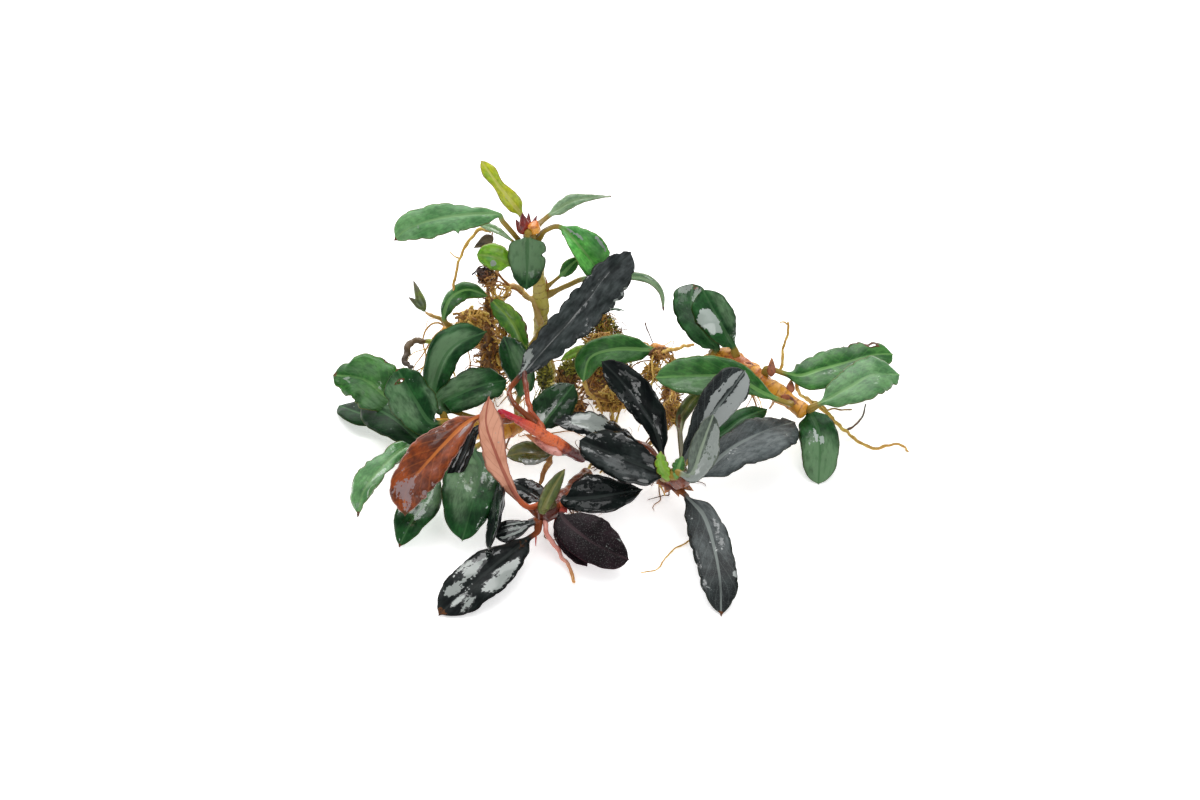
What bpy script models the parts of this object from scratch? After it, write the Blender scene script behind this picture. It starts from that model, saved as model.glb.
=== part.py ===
"""A clump of bucephalandra as it is taken out of the water, lying on a flat surface.

Wavy leaves on short stalks grow from eight creeping rhizomes and shoots around a
felted mass of roots. Every leaf, rhizome and root is a solid of its own, and a narrow
gap is left where a stalk meets the rhizome that it grows from.
"""

import math

import bmesh
import bpy
import numpy as np

MM = 0.001

# The clump's places are written as it is seen from the front and from 37 degrees
# above the ground: millimetres across, millimetres up that view, and millimetres
# above the ground. LOOK_DOWN and LOOK_LEVEL are the sine and cosine of that angle.
LOOK_DOWN = 0.6
LOOK_LEVEL = 0.8
# The view's zero is this far behind the middle of the clump's box.
MIDDLE = 7.8

# The narrowest that a leaf may look through its tilt, as a share of its width.
NARROWEST = 0.6

GAP = 0.45
STALK_RADIUS = 0.65
RIB_THICKNESS = 0.95
WING_THICKNESS = 0.6
STALK_STEPS = 3
BLADE_STEPS = (0.0, 0.1, 0.22, 0.4, 0.6, 0.8, 0.93)
# Each ring of a blade: how far across from the midrib, left being positive, and the
# layer, half a thickness above or below the middle of the blade.
RING = ((1.0, 0.0), (0.5, 0.5), (0.0, 0.5), (-0.5, 0.5), (-1.0, 0.0), (-0.5, -0.5), (0.0, -0.5), (0.5, -0.5))
PATH_FINENESS = 14
# How a root mass narrows upwards: 0.5 makes a dome, and 1 a cone.
MOUND_FLARE = 0.62


def place(across, rise, height):
    """A place in millimetres from how far across, up the view and off the ground it is."""
    back = (rise - LOOK_LEVEL * height) / LOOK_DOWN + MIDDLE
    return np.array((across, back, height), float)


def unit(vector):
    """The same direction with a length of one."""
    return vector / max(np.linalg.norm(vector), 1e-9)


class Path:
    """A smooth curve through a few points, read by the share of its length."""

    def __init__(self, points):
        knots = [np.asarray(point, float) for point in points]
        ends = [2 * knots[0] - knots[1], *knots, 2 * knots[-1] - knots[-2]]
        dense = []
        for i in range(1, len(ends) - 2):
            before, start, end, after = ends[i - 1:i + 3]
            for step in range(PATH_FINENESS):
                t = step / PATH_FINENESS
                dense.append(0.5 * (
                    2 * start + (end - before) * t
                    + (2 * before - 5 * start + 4 * end - after) * t ** 2
                    + (3 * start - before - 3 * end + after) * t ** 3
                ))
        dense.append(knots[-1])
        self.points = np.array(dense)
        steps = np.linalg.norm(np.diff(self.points, axis=0), axis=1)
        self.run = np.concatenate([[0.0], np.cumsum(steps)])
        self.length = self.run[-1]
        self.knots = [self.run[i * PATH_FINENESS] / self.length for i in range(len(knots))]

    def at(self, share):
        """The point at a share of the length, from 0 to 1."""
        return np.array([
            np.interp(share * self.length, self.run, self.points[:, axis]) for axis in range(3)
        ])

    def heading(self, share):
        """The direction of travel at a share of the length."""
        ahead = self.at(min(share + 0.02, 1.0))
        behind = self.at(max(share - 0.02, 0.0))
        return unit(ahead - behind)


def seen_share(along, side):
    """How wide a leaf looks from the front, as a share of its width."""
    run = np.array((along[0], LOOK_DOWN * along[1] + LOOK_LEVEL * along[2]))
    reach = np.array((side[0], LOOK_DOWN * side[1] + LOOK_LEVEL * side[2]))
    run /= max(np.linalg.norm(run), 1e-9)
    return max(abs(run[0] * reach[1] - run[1] * reach[0]), NARROWEST)


def material(name, colour, roughness):
    """A plain coloured material for one piece."""
    made = bpy.data.materials.new(name)
    made.use_nodes = True
    shader = made.node_tree.nodes["Principled BSDF"]
    shader.inputs["Base Color"].default_value = (*colour, 1.0)
    shader.inputs["Roughness"].default_value = roughness
    shader.inputs["Metallic"].default_value = 0.0
    return made


def solid(name, rings, finish, tip=None):
    """One closed solid from rings of points in millimetres, ending in a face or in a point."""
    shape = bmesh.new()
    made = [[shape.verts.new(point * MM) for point in ring] for ring in rings]
    for near, far in zip(made, made[1:]):
        for i in range(len(near)):
            j = (i + 1) % len(near)
            shape.faces.new((near[i], near[j], far[j], far[i]))
    shape.faces.new(made[0][::-1])
    if tip is None:
        shape.faces.new(made[-1])
    else:
        end = shape.verts.new(tip * MM)
        last = made[-1]
        for i in range(len(last)):
            shape.faces.new((last[i], last[(i + 1) % len(last)], end))
    bmesh.ops.triangulate(shape, faces=shape.faces[:])
    bmesh.ops.recalc_face_normals(shape, faces=shape.faces[:])
    mesh = bpy.data.meshes.new(name)
    shape.to_mesh(mesh)
    shape.free()
    mesh.shade_smooth()
    mesh.set_sharp_from_angle(angle=math.radians(40))
    mesh.materials.append(material(name + "_finish", *finish))
    piece = bpy.data.objects.new(name, mesh)
    bpy.context.scene.collection.objects.link(piece)
    return piece


class Shoot:
    """A rhizome or stem: a knobbly round solid along a path, from which stalks grow."""

    SIDES = 9

    def __init__(self, name, points, radii, finish, steps=9, knobs=0.12):
        self.name = name
        self.path = Path(points)
        self.radii = radii
        self.finish = finish
        self.steps = steps
        self.knobs = knobs

    def radius(self, share):
        """The radius there, with the swellings between the old leaf scars."""
        plain = np.interp(share, self.path.knots, self.radii)
        return plain * (1 + self.knobs * math.sin(math.tau * share * self.steps / 3.0))

    def build(self):
        """Makes the solid, with a rounded end at each side."""
        rings = []
        last = self.steps
        for step in range(last + 1):
            share = step / last
            along = self.path.heading(share)
            side = unit(np.cross(along, (0.23, 0.31, 0.92)))
            over = np.cross(side, along)
            size = self.radius(share)
            if step in (0, last):
                size *= 0.62
            ring = []
            for i in range(self.SIDES):
                turn = math.tau * i / self.SIDES
                ring.append(self.path.at(share) + size * (math.cos(turn) * side + math.sin(turn) * over))
            rings.append(ring)
        solid(self.name, rings, self.finish)

    def bud_at(self, share, toward):
        """Where a stalk that heads for a point starts: just clear of the surface."""
        centre = self.path.at(share)
        along = self.path.heading(share)
        out = toward - centre
        if 0.02 < share < 0.98:
            out = out - along * out.dot(along)
        out = unit(out)
        return centre + out * (self.radius(share) * 1.02 + GAP)


def half_width(t, widths, tip):
    """The blade's half-width at a share of its length.

    widths holds it at a fifth, two, three and four fifths. tip is 0.5 for a round tip
    and 1 for a pointed one.
    """
    shares = (0.0, 0.1, 0.2, 0.4, 0.6, 0.8, 1.0)
    known = (STALK_RADIUS * 0.8, widths[0] * 0.74, *widths, widths[-1] * 0.9)
    plain = np.interp(t, shares, known)
    end = max(0.0, (t - 0.8) / 0.2)
    return plain * (1 - min(1.0, end) ** 1.5) ** tip


def leaf(name, shoot, share, rib, left, right, face, finish, via=(), fold=0.0, cup=0.0,
         twist=0.0, tip=0.7, wave=(0.0, 2.0, 0.0), stalk=STALK_RADIUS):
    """One leaf with its stalk, as one closed solid.

    rib holds the places of the midrib from the blade's base to its tip, and via those of
    the stalk before them. left and right are the half-widths on the two sides of the
    midrib, as the front view shows them with the tip upwards on the upper face, and face
    is where that face looks. fold lifts both halves by an angle, cup curls them up by a
    share of their width, and wave is the height, count and start of the margin's ripples.
    """
    rib = [place(*point) for point in rib]
    via = [place(*point) for point in via]
    start = shoot.bud_at(share, (via + rib)[0])
    path = Path([start, *via, *rib])
    base_share = path.knots[1 + len(via)]
    face = unit(np.array(face, float))
    rings = []

    def frame(at, turn):
        along = path.heading(at)
        side = unit(np.cross(face, along))
        up = np.cross(along, side)
        angle = math.radians(turn)
        return (math.cos(angle) * side + math.sin(angle) * up,
                math.cos(angle) * up - math.sin(angle) * side)

    for step in range(STALK_STEPS):
        side, up = frame(base_share * step / STALK_STEPS, -0.5 * twist)
        centre = path.at(base_share * step / STALK_STEPS)
        rings.append([
            centre + stalk * (math.cos(math.tau * i / 8) * side + math.sin(math.tau * i / 8) * up)
            for i in range(8)
        ])
    for t in BLADE_STEPS:
        at = base_share + (1 - base_share) * t
        side, up = frame(at, twist * (t - 0.5))
        widen = 1 / seen_share(path.heading(at), side)
        thick = (2 * stalk + (RIB_THICKNESS - 2 * stalk) * min(1.0, t / 0.3)) * (1 - 0.45 * t)
        lean = math.radians(fold) * min(1.0, 5 * t)
        ring = []
        for share_across, layer in RING:
            sign = 1 if share_across > 0 else -1
            reach = abs(share_across) * widen * half_width(t, left if sign > 0 else right, tip)
            ripple = wave[0] * share_across ** 2 * math.sin(
                math.tau * (wave[1] * t + wave[2]) + (0.0 if sign > 0 else 2.1))
            ripple *= min(1.0, 4 * t) * min(1.0, 6 * (1 - t))
            lift = reach * math.sin(lean) + cup * reach * abs(share_across) + ripple
            depth = thick * (1.0 if share_across == 0 else WING_THICKNESS)
            ring.append(path.at(at) + sign * reach * math.cos(lean) * side + (lift + layer * depth) * up)
        rings.append(ring)
    solid(name, rings, finish, tip=path.at(1.0))


def mound(name, across, rise, reach, height, lumps, finish, around=26, levels=6):
    """A felted lump of roots: a dome with knotted ridges and a flat underside."""
    rings = []
    middle = place(across, rise, 0.0)
    for level in range(levels + 1):
        up = level / (levels + 0.25)
        inset = (1 - up) ** MOUND_FLARE
        ring = []
        for i in range(around):
            turn = math.tau * i / around
            ridge = 1 + lumps * (
                math.sin(5 * turn + 1.3 * level) + 0.6 * math.sin(9 * turn - 0.8 * level + 1.0)
                + 0.4 * math.cos(13 * turn + 2.1 * level)
            ) * (0.35 if level == 0 else 1.0)
            ring.append(np.array((
                middle[0] + reach[0] * inset * ridge * math.cos(turn),
                middle[1] + reach[1] * inset * ridge * math.sin(turn),
                height * up * (1 + 0.5 * lumps * math.sin(3 * turn + level)),
            )))
        rings.append(ring)
    solid(name, rings, finish)


def root(name, points, radius, finish, sides=6, steps=10):
    """A free root: a thin tapering solid along a path."""
    path = Path([place(*point) for point in points])
    rings = []
    for step in range(steps + 1):
        share = step / steps
        along = path.heading(share)
        side = unit(np.cross(along, (0.2, 0.35, 0.91)))
        over = np.cross(side, along)
        size = radius * (1 - 0.45 * share)
        rings.append([
            path.at(share) + size * (math.cos(math.tau * i / sides) * side
                                     + math.sin(math.tau * i / sides) * over)
            for i in range(sides)
        ])
    solid(name, rings, finish)


# Colours and roughness of the finishes
DEEP_GREEN = ((0.035, 0.10, 0.03), 0.35)
GREEN = ((0.06, 0.16, 0.04), 0.35)
LIME = ((0.30, 0.34, 0.03), 0.4)
BLACK_LEAF = ((0.012, 0.016, 0.014), 0.25)
GREY_LEAF = ((0.05, 0.055, 0.05), 0.45)
PURPLE_LEAF = ((0.035, 0.02, 0.025), 0.35)
COPPER = ((0.28, 0.09, 0.04), 0.4)
PINK_BROWN = ((0.45, 0.22, 0.14), 0.6)
RHIZOME = ((0.30, 0.13, 0.04), 0.5)
YOUNG_STEM = ((0.35, 0.27, 0.04), 0.45)
CRIMSON = ((0.45, 0.05, 0.03), 0.35)
ROOT_BROWN = ((0.28, 0.15, 0.04), 0.8)


def make_shoots():
    """The rhizomes and stems, by the part of the clump that they carry."""
    shoots = {
        "crown": Shoot("stem_crown", [
            place(-18.4, 19.8, 2.6), place(-18.2, 25.0, 9.0), place(-19.5, 33.0, 20.0),
            place(-19.6, 41.0, 30.0), place(-20.6, 49.0, 40.0), place(-22.4, 57.2, 50.5),
        ], (1.9, 2.1, 1.9, 1.8, 1.8, 1.6), YOUNG_STEM, steps=12),
        "rear_left": Shoot("rhizome_rear_left", [
            place(-43.9, 33.8, 19.5), place(-42.2, 33.2, 19.0), place(-40.4, 32.3, 17.6),
        ], (1.2, 1.6, 1.4), RHIZOME, steps=6),
        "left": Shoot("rhizome_left", [
            place(-46.0, 10.5, 12.5), place(-42.0, 10.2, 11.5), place(-35.0, 9.5, 9.5),
            place(-27.0, 9.8, 7.0), place(-17.5, 14.2, 5.0),
        ], (1.6, 2.2, 2.1, 1.9, 1.4), RHIZOME, steps=12),
        "front": Shoot("rhizome_front", [
            place(-19.5, -11.6, 8.0), place(-17.0, -9.5, 8.0), place(-12.5, -5.5, 6.5),
            place(-8.2, -0.6, 5.0),
        ], (1.5, 2.1, 2.1, 1.7), RHIZOME, steps=9),
        "centre": Shoot("rhizome_centre", [
            place(15.5, -2.0, 13.0), place(13.0, -2.2, 11.0), place(9.0, -1.0, 8.0),
            place(3.6, 1.8, 6.0),
        ], (1.6, 2.2, 2.2, 1.6), RHIZOME, steps=9),
        "right": Shoot("rhizome_right", [
            place(18.2, 23.0, 11.0), place(21.8, 26.6, 13.6), place(26.5, 26.9, 15.2),
            place(35.0, 20.5, 13.5), place(44.5, 13.5, 10.0),
        ], (1.5, 1.9, 2.3, 2.2, 1.8), RHIZOME, steps=13),
        "red": Shoot("shoot_red", [
            place(-9.0, 2.6, 8.4), place(-13.0, 4.8, 13.5), place(-16.5, 6.8, 16.5),
            place(-23.0, 11.0, 22.0), place(-29.6, 14.4, 27.0),
        ], (1.1, 1.5, 1.7, 1.2, 0.6), CRIMSON, steps=10, knobs=0.05),
        "middle": Shoot("rhizome_middle", [
            place(10.5, 28.0, 22.5), place(9.0, 29.0, 23.5), place(6.5, 29.5, 24.0),
        ], (1.2, 1.4, 1.0), RHIZOME, steps=5),
    }
    for shoot in shoots.values():
        shoot.build()
    return shoots


def make_crown_leaves(crown):
    """The upright rosette at the top left."""
    leaf("leaf_crown_young", crown, 0.98, [(-24.5, 61.7, 54), (-28.8, 67.2, 61), (-33.9, 74.4, 66)],
         (1.4, 1.7, 1.5, 1.8), (2.3, 2.4, 1.7, 2.0), (0.25, -0.9, 0.35), LIME, tip=0.5)
    leaf("leaf_crown_left", crown, 0.92,
         [(-30.7, 61.4, 56), (-42.5, 60.5, 57), (-50.9, 58.1, 54), (-54.8, 55.0, 50.5)],
         (2.6, 3.7, 4.3, 3.4), (1.6, 3.2, 3.7, 4.2), (0.0, -0.45, 0.9), GREEN,
         via=[(-28.4, 59.4, 53.6)], tip=0.6, wave=(0.5, 2.5, 0.1))
    leaf("leaf_crown_right", crown, 1.0,
         [(-16.8, 61.7, 54), (-12.5, 64.3, 56.5), (-8.9, 65.3, 57.5), (-2.4, 65.8, 57.5)],
         (1.6, 2.0, 1.1, 0.6), (1.6, 1.6, 1.0, 0.5), (0.1, -0.6, 0.8), GREEN, tip=1.0, twist=30)
    leaf("leaf_crown_folded", crown, 0.95, [(-14.7, 58.3, 51), (-10.2, 53.6, 49), (-4.8, 47.0, 42)],
         (2.6, 4.3, 5.3, 4.7), (1.6, 2.7, 3.8, 4.2), (0.25, -0.65, 0.7), DEEP_GREEN,
         via=[(-18.2, 57.7, 50.8)], fold=25)
    leaf("leaf_crown_hanging", crown, 1.0, [(-22.7, 54.8, 50.6), (-22.8, 49.9, 44), (-23.0, 43.2, 37)],
         (4.3, 4.7, 4.4, 3.2), (4.3, 4.7, 4.4, 3.2), (0.0, -0.85, 0.5), DEEP_GREEN,
         via=[(-22.6, 56.8, 52.4)], cup=-0.15)
    leaf("leaf_crown_lime", crown, 0.76, [(-27.8, 49.9, 42.6), (-31.2, 51.4, 44.6), (-35.0, 51.8, 45)],
         (2.2, 2.8, 2.8, 2.2), (2.2, 2.8, 2.8, 2.2), (-0.2, -0.75, 0.6), LIME, cup=-0.1, tip=0.5)
    leaf("leaf_crown_behind", crown, 0.61,
         [(-7.7, 46.3, 37), (4.3, 46.3, 38), (9.1, 43.2, 35), (10.1, 38.2, 30)],
         (1.0, 1.2, 1.3, 1.0), (1.0, 1.2, 1.3, 1.0), (0.2, -0.7, 0.65), GREEN,
         via=[(-13.0, 44.5, 35)])


def make_rear_left_leaves(rear_left, left, crown):
    """The small shoot behind the left rosette, and the two leaves beside the stem."""
    leaf("leaf_rear_arching", rear_left, 0.45,
         [(-43.0, 36.5, 24), (-41.6, 41.0, 29), (-37.4, 43.4, 33), (-32.2, 41.8, 32)],
         (1.6, 2.2, 2.4, 1.8), (1.6, 2.2, 2.4, 1.8), (-0.3, -0.5, 0.8), GREEN, fold=-12)
    leaf("leaf_rear_folded", crown, 0.38, [(-23.4, 29.6, 23), (-26.4, 35.5, 28), (-31.7, 41.3, 33)],
         (1.4, 2.3, 2.9, 2.4), (1.8, 2.9, 2.8, 2.2), (-0.1, -0.85, 0.5), LIME, cup=0.1, tip=0.5)
    leaf("leaf_rear_pale", left, 0.68, [(-24.2, 20.5, 18.5), (-26.2, 26.4, 23), (-28.6, 32.2, 27)],
         (2.2, 3.0, 3.2, 2.6), (3.0, 4.2, 4.4, 3.4), (-0.2, -0.85, 0.5), GREEN,
         via=[(-25.5, 15.0, 13)], tip=0.6)


def make_left_leaves(left):
    """The green rosette at the left."""
    leaf("leaf_left_tall", left, 0.1,
         [(-45.0, 18.8, 16.5), (-43.7, 25.0, 22), (-40.1, 30.0, 26.5), (-32.4, 33.4, 28.5)],
         (3.4, 4.3, 5.0, 4.3), (2.8, 3.6, 3.4, 2.6), (-0.3, -0.6, 0.75), GREEN,
         tip=0.9, wave=(0.4, 2.0, 0.3))
    leaf("leaf_left_inner", left, 0.35,
         [(-43.2, 15.6, 15.2), (-38.3, 18.6, 18.5), (-32.6, 20.6, 20), (-27.6, 21.6, 19)],
         (2.6, 4.4, 5.0, 4.2), (3.0, 4.4, 4.6, 3.7), (0.0, -0.5, 0.85), GREEN, tip=0.6)
    leaf("leaf_left_outer", left, 0.04, [(-57.1, 17.8, 12.5), (-62.4, 21.8, 15.5), (-70.0, 22.8, 15)],
         (3.8, 5.8, 6.0, 4.8), (5.4, 7.0, 6.6, 5.0), (0.0, -0.5, 0.85), GREEN,
         via=[(-51.0, 14.4, 10.5)], tip=0.5, wave=(0.5, 3.0, 0.2))
    leaf("leaf_left_upper", left, 0.08, [(-46.2, 11.6, 15.2), (-49.6, 16.6, 18), (-54.2, 24.4, 22)],
         (3.4, 6.0, 6.6, 5.6), (3.2, 4.4, 4.6, 4.4), (-0.2, -0.6, 0.78), GREEN, tip=0.5)
    leaf("leaf_left_lower", left, 0.0, [(-48.6, 7.2, 10), (-54.5, 12.0, 11.5), (-62.6, 16.3, 9)],
         (3.6, 5.0, 5.2, 4.0), (1.8, 2.8, 3.2, 2.9), (-0.1, -0.4, 0.9), DEEP_GREEN, tip=0.6)
    leaf("leaf_left_ground", left, 0.06, [(-58.6, 12.5, 3), (-64.1, 13.7, 3), (-68.9, 15.4, 0.3)],
         (2.0, 3.0, 2.8, 2.2), (2.4, 3.2, 3.6, 3.4), (0.0, -0.2, 1.0), DEEP_GREEN,
         via=[(-51.5, 8.5, 5)], tip=0.6)
    leaf("leaf_left_wavy", left, 0.08,
         [(-51.4, 5.6, 9), (-56.9, 1.2, 9), (-61.7, -4.8, 6.5), (-63.4, -11.4, 0.1)],
         (1.5, 2.0, 2.4, 2.0), (2.6, 3.6, 4.6, 3.8), (-0.1, -0.45, 0.9), LIME,
         via=[(-48.0, 4.2, 8.4)], tip=1.0, wave=(0.8, 2.5, 0.0))
    leaf("leaf_left_front", left, 0.22, [(-46.1, -6.0, 5.5), (-50.4, -12.5, 5), (-53.3, -18.5, 0.1)],
         (2.2, 3.6, 3.8, 2.8), (3.0, 4.5, 5.0, 3.9), (0.0, -0.4, 0.92), GREY_LEAF,
         via=[(-43.6, 3.0, 8)])
    leaf("leaf_left_broad", left, 0.46, [(-34.0, 0.5, 10.5), (-36.0, -8.4, 9.5), (-38.2, -17.0, 3.5)],
         (4.0, 5.0, 5.2, 4.4), (6.6, 8.6, 8.4, 6.4), (0.1, -0.4, 0.9), DEEP_GREEN,
         via=[(-35.5, 5.0, 10)], tip=0.5)


def make_red_leaves(red):
    """The leaves of the red shoot in the middle."""
    leaf("leaf_copper", red, 0.97,
         [(-34.8, 12.5, 25), (-40.1, 8.6, 23.5), (-50.6, -3.4, 15.5), (-51.8, -11.0, 9)],
         (2.6, 4.2, 5.2, 5.2), (3.2, 5.6, 5.6, 4.4), (-0.1, -0.5, 0.85), COPPER,
         tip=0.6, wave=(0.4, 3.0, 0.0))
    leaf("leaf_black_long", red, 0.69,
         [(-25.2, 21.6, 28), (-16.6, 31.2, 35), (-9.4, 39.4, 41), (-3.6, 46.8, 46), (2.4, 52.6, 49.5)],
         (4.2, 4.4, 4.0, 3.4), (3.8, 5.4, 6.2, 6.6), (0.25, -0.75, 0.6), BLACK_LEAF,
         via=[(-25.8, 15.9, 27.0), (-27.0, 18.8, 28.2)], tip=0.4, wave=(0.7, 3.0, 0.2))
    leaf("leaf_red_low", red, 0.26, [(-20.0, 3.9, 11.5), (-24.0, 4.1, 12.0), (-27.8, 3.2, 12.0)],
         (1.6, 2.4, 2.4, 1.6), (1.6, 2.4, 2.4, 1.6), (0.0, -0.6, 0.8), DEEP_GREEN)
    leaf("leaf_red_streaked", red, 0.36, [(-19.2, 10.0, 17.5), (-15.4, 15.6, 21), (-11.5, 20.6, 24)],
         (3.8, 5.4, 5.2, 4.0), (2.4, 3.8, 4.2, 3.4), (-0.1, -0.7, 0.7), DEEP_GREEN, tip=0.6)


def make_front_leaves(front):
    """The rosette at the lower middle."""
    leaf("leaf_front_underside", front, 0.12,
         [(-25.4, -5.8, 13), (-28.3, 0.0, 18), (-30.7, 6.0, 23), (-32.4, 11.5, 27), (-31.7, 17.8, 32.5)],
         (1.2, 1.8, 3.6, 4.0), (4.0, 4.2, 2.8, 1.8), (0.2, 0.85, -0.45), PINK_BROWN,
         via=[(-22.8, -8.6, 10)], tip=0.8)
    leaf("leaf_front_narrow", front, 0.12, [(-18.8, -9.2, 12.0), (-16.6, -4.3, 14.5), (-13.6, 0.4, 17)],
         (1.6, 1.9, 1.9, 1.3), (1.6, 1.9, 1.9, 1.3), (0.2, -0.8, 0.55), GREEN)
    leaf("leaf_front_streaked", front, 0.0, [(-21.8, -12.4, 8.5), (-25.2, -13.8, 9), (-29.2, -15.2, 8)],
         (2.4, 2.8, 2.8, 2.2), (2.4, 2.8, 2.8, 2.2), (0.0, -0.6, 0.8), BLACK_LEAF, tip=0.5)
    leaf("leaf_front_edge_on", front, 0.05, [(-29.6, -4.6, 10.6), (-30.2, -11.0, 11.0), (-32.4, -21.2, 8.2)],
         (1.8, 2.8, 2.8, 2.0), (1.8, 2.8, 2.8, 2.0), (-0.9, -0.2, 0.35), BLACK_LEAF,
         via=[(-24.5, -7.2, 7.8), (-27.8, -4.4, 9.6)])
    leaf("leaf_front_large", front, 0.0,
         [(-22.6, -16.4, 5), (-28.1, -20.9, 5.5), (-36.0, -27.3, 4.5), (-43.6, -34.3, 0.1)],
         (4.2, 5.6, 5.8, 5.0), (3.6, 5.2, 5.6, 4.8), (0.0, -0.25, 1.0), BLACK_LEAF,
         via=[(-20.4, -14.8, 6)], tip=0.6, wave=(0.5, 3.0, 0.3))
    leaf("leaf_front_purple", front, 0.25,
         [(-14.3, -11.1, 9.0), (-9.6, -15.4, 8), (-3.6, -19.0, 5.5), (1.7, -21.3, 3)],
         (4.6, 6.2, 6.0, 4.6), (3.4, 4.8, 5.0, 4.0), (0.0, -0.35, 0.95), PURPLE_LEAF, tip=0.5)
    leaf("leaf_front_dark", front, 0.5, [(-12.4, -6.0, 10.5), (-5.3, -4.8, 11), (5.5, -3.9, 9)],
         (4.2, 6.0, 5.0, 2.8), (2.8, 4.0, 3.9, 2.6), (0.0, -0.5, 0.87), BLACK_LEAF, tip=0.8)


def make_centre_leaves(centre):
    """The black rosette right of the middle."""
    leaf("leaf_centre_broad", centre, 0.3,
         [(8.6, -0.3, 14), (1.9, 2.2, 16), (-4.6, 4.8, 17), (-10.3, 7.2, 17)],
         (4.6, 5.4, 4.9, 4.0), (3.4, 5.2, 6.0, 5.0), (0.0, -0.5, 0.87), BLACK_LEAF, tip=0.5)
    leaf("leaf_centre_behind", centre, 0.5, [(0.5, 7.6, 13.5), (-8.2, 11.0, 18), (-16.3, 11.2, 20)],
         (2.4, 3.2, 3.2, 2.4), (2.4, 3.2, 3.2, 2.4), (0.0, -0.6, 0.8), BLACK_LEAF,
         via=[(6.4, 5.4, 12.4)], tip=0.6)
    leaf("leaf_centre_back", centre, 0.45,
         [(9.3, 4.6, 14), (7.9, 9.6, 18), (4.3, 15.6, 23), (-0.5, 21.6, 27.5), (-5.0, 26.2, 31)],
         (2.2, 2.8, 3.4, 3.0), (4.8, 5.4, 5.4, 4.2), (0.3, -0.7, 0.65), DEEP_GREEN, tip=0.5)
    leaf("leaf_centre_folded", centre, 0.2,
         [(15.4, 3.8, 16), (18.0, 7.9, 18.5), (21.8, 13.7, 22), (25.4, 18.4, 24.5), (29.6, 24.0, 27.5)],
         (2.6, 4.8, 6.0, 5.6), (1.6, 2.9, 4.0, 4.4), (0.3, -0.7, 0.65), GREY_LEAF, fold=22, tip=0.6)
    leaf("leaf_centre_upright", centre, 0.06, [(16.9, -0.4, 16), (18.7, 4.8, 19), (21.6, 12.0, 23.5)],
         (1.8, 2.6, 2.6, 2.2), (3.4, 5.0, 4.8, 3.2), (0.2, -0.85, 0.5), BLACK_LEAF, tip=0.5)
    leaf("leaf_centre_matte", centre, 0.1,
         [(19.9, 0.4, 12), (26.2, 5.1, 13), (34.3, 9.1, 12), (42.0, 11.5, 8)],
         (3.2, 3.8, 4.2, 3.8), (4.6, 6.2, 6.6, 5.0), (0.0, -0.35, 0.93), GREY_LEAF,
         tip=0.6, wave=(0.5, 3.0, 0.4))
    leaf("leaf_centre_under", centre, 0.35, [(24.7, 9.1, 10.5), (29.5, 12.5, 11), (35.2, 14.6, 9.5)],
         (2.0, 2.6, 2.6, 2.0), (2.0, 2.6, 2.6, 2.0), (0.0, -0.4, 0.9), DEEP_GREEN,
         via=[(18.5, 5.0, 9.0)])
    leaf("leaf_centre_ground", centre, 0.2,
         [(15.6, -6.8, 8), (19.4, -10.8, 7), (21.8, -18.0, 5.5), (23.2, -26.4, 4), (23.4, -34.6, 0.1)],
         (3.2, 4.2, 4.4, 4.4), (4.4, 5.6, 5.0, 4.8), (0.0, -0.2, 1.0), BLACK_LEAF,
         via=[(15.4, -6.2, 8.2)], tip=0.7, wave=(0.4, 3.0, 0.0))


def make_right_leaves(right, middle):
    """The leaves of the bare rhizome at the right, and the curled one on the root mass."""
    leaf("leaf_right_long", right, 0.88,
         [(33.8, 18.5, 19), (27.1, 22.1, 23), (18.7, 22.6, 25.5), (7.7, 22.1, 26.5)],
         (1.6, 4.6, 5.4, 4.2), (2.4, 4.4, 5.2, 4.4), (0.0, -0.5, 0.87), GREEN,
         via=[(39.5, 16.2, 15)], tip=0.5)
    leaf("leaf_right_upper", right, 0.34, [(26.8, 29.9, 19.6), (24.0, 34.8, 25), (19.4, 43.7, 31)],
         (3.6, 5.2, 5.6, 4.4), (3.4, 4.8, 5.0, 4.0), (0.1, -0.7, 0.7), DEEP_GREEN)
    leaf("leaf_right_behind", right, 0.2,
         [(22.8, 29.6, 18), (19.8, 33.4, 20.5), (17.0, 39.5, 23), (17.2, 45.2, 25)],
         (3.2, 4.6, 4.8, 4.4), (2.6, 3.8, 4.4, 4.4), (0.0, -0.5, 0.87), DEEP_GREEN, tip=0.4, cup=0.15)
    leaf("leaf_right_far", right, 0.6,
         [(42.2, 22.6, 15.5), (48.7, 24.2, 13.5), (55.9, 26.2, 11), (61.9, 27.8, 9), (66.3, 27.9, 7)],
         (3.2, 4.2, 4.4, 4.2), (4.6, 5.6, 5.2, 3.6), (0.0, -0.35, 0.93), GREEN,
         via=[(35.6, 24.4, 17.5)], tip=0.35)
    leaf("leaf_right_end", right, 0.98,
         [(48.6, 16.3, 13.5), (54.7, 19.7, 16), (60.7, 22.8, 16), (67.4, 22.9, 13)],
         (3.2, 4.4, 4.8, 4.4), (3.2, 5.0, 5.2, 3.6), (0.0, -0.3, 0.95), GREEN, tip=0.6)
    leaf("leaf_right_down", right, 0.94, [(45.8, 13.0, 8.4), (47.7, 7.2, 6.5), (47.3, -3.6, 0.1)],
         (3.8, 4.8, 4.7, 3.9), (4.0, 4.8, 4.7, 4.0), (0.0, -0.3, 0.95), DEEP_GREEN, tip=0.5)
    leaf("leaf_middle_curled", middle, 0.95,
         [(4.9, 28.6, 25), (-1.5, 29.0, 27), (-7.6, 26.9, 26.4), (-9.4, 21.0, 22.5)],
         (3.0, 3.7, 3.6, 3.0), (2.6, 3.6, 3.4, 3.0), (0.0, -0.6, 0.8), GREEN, tip=0.6)


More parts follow.
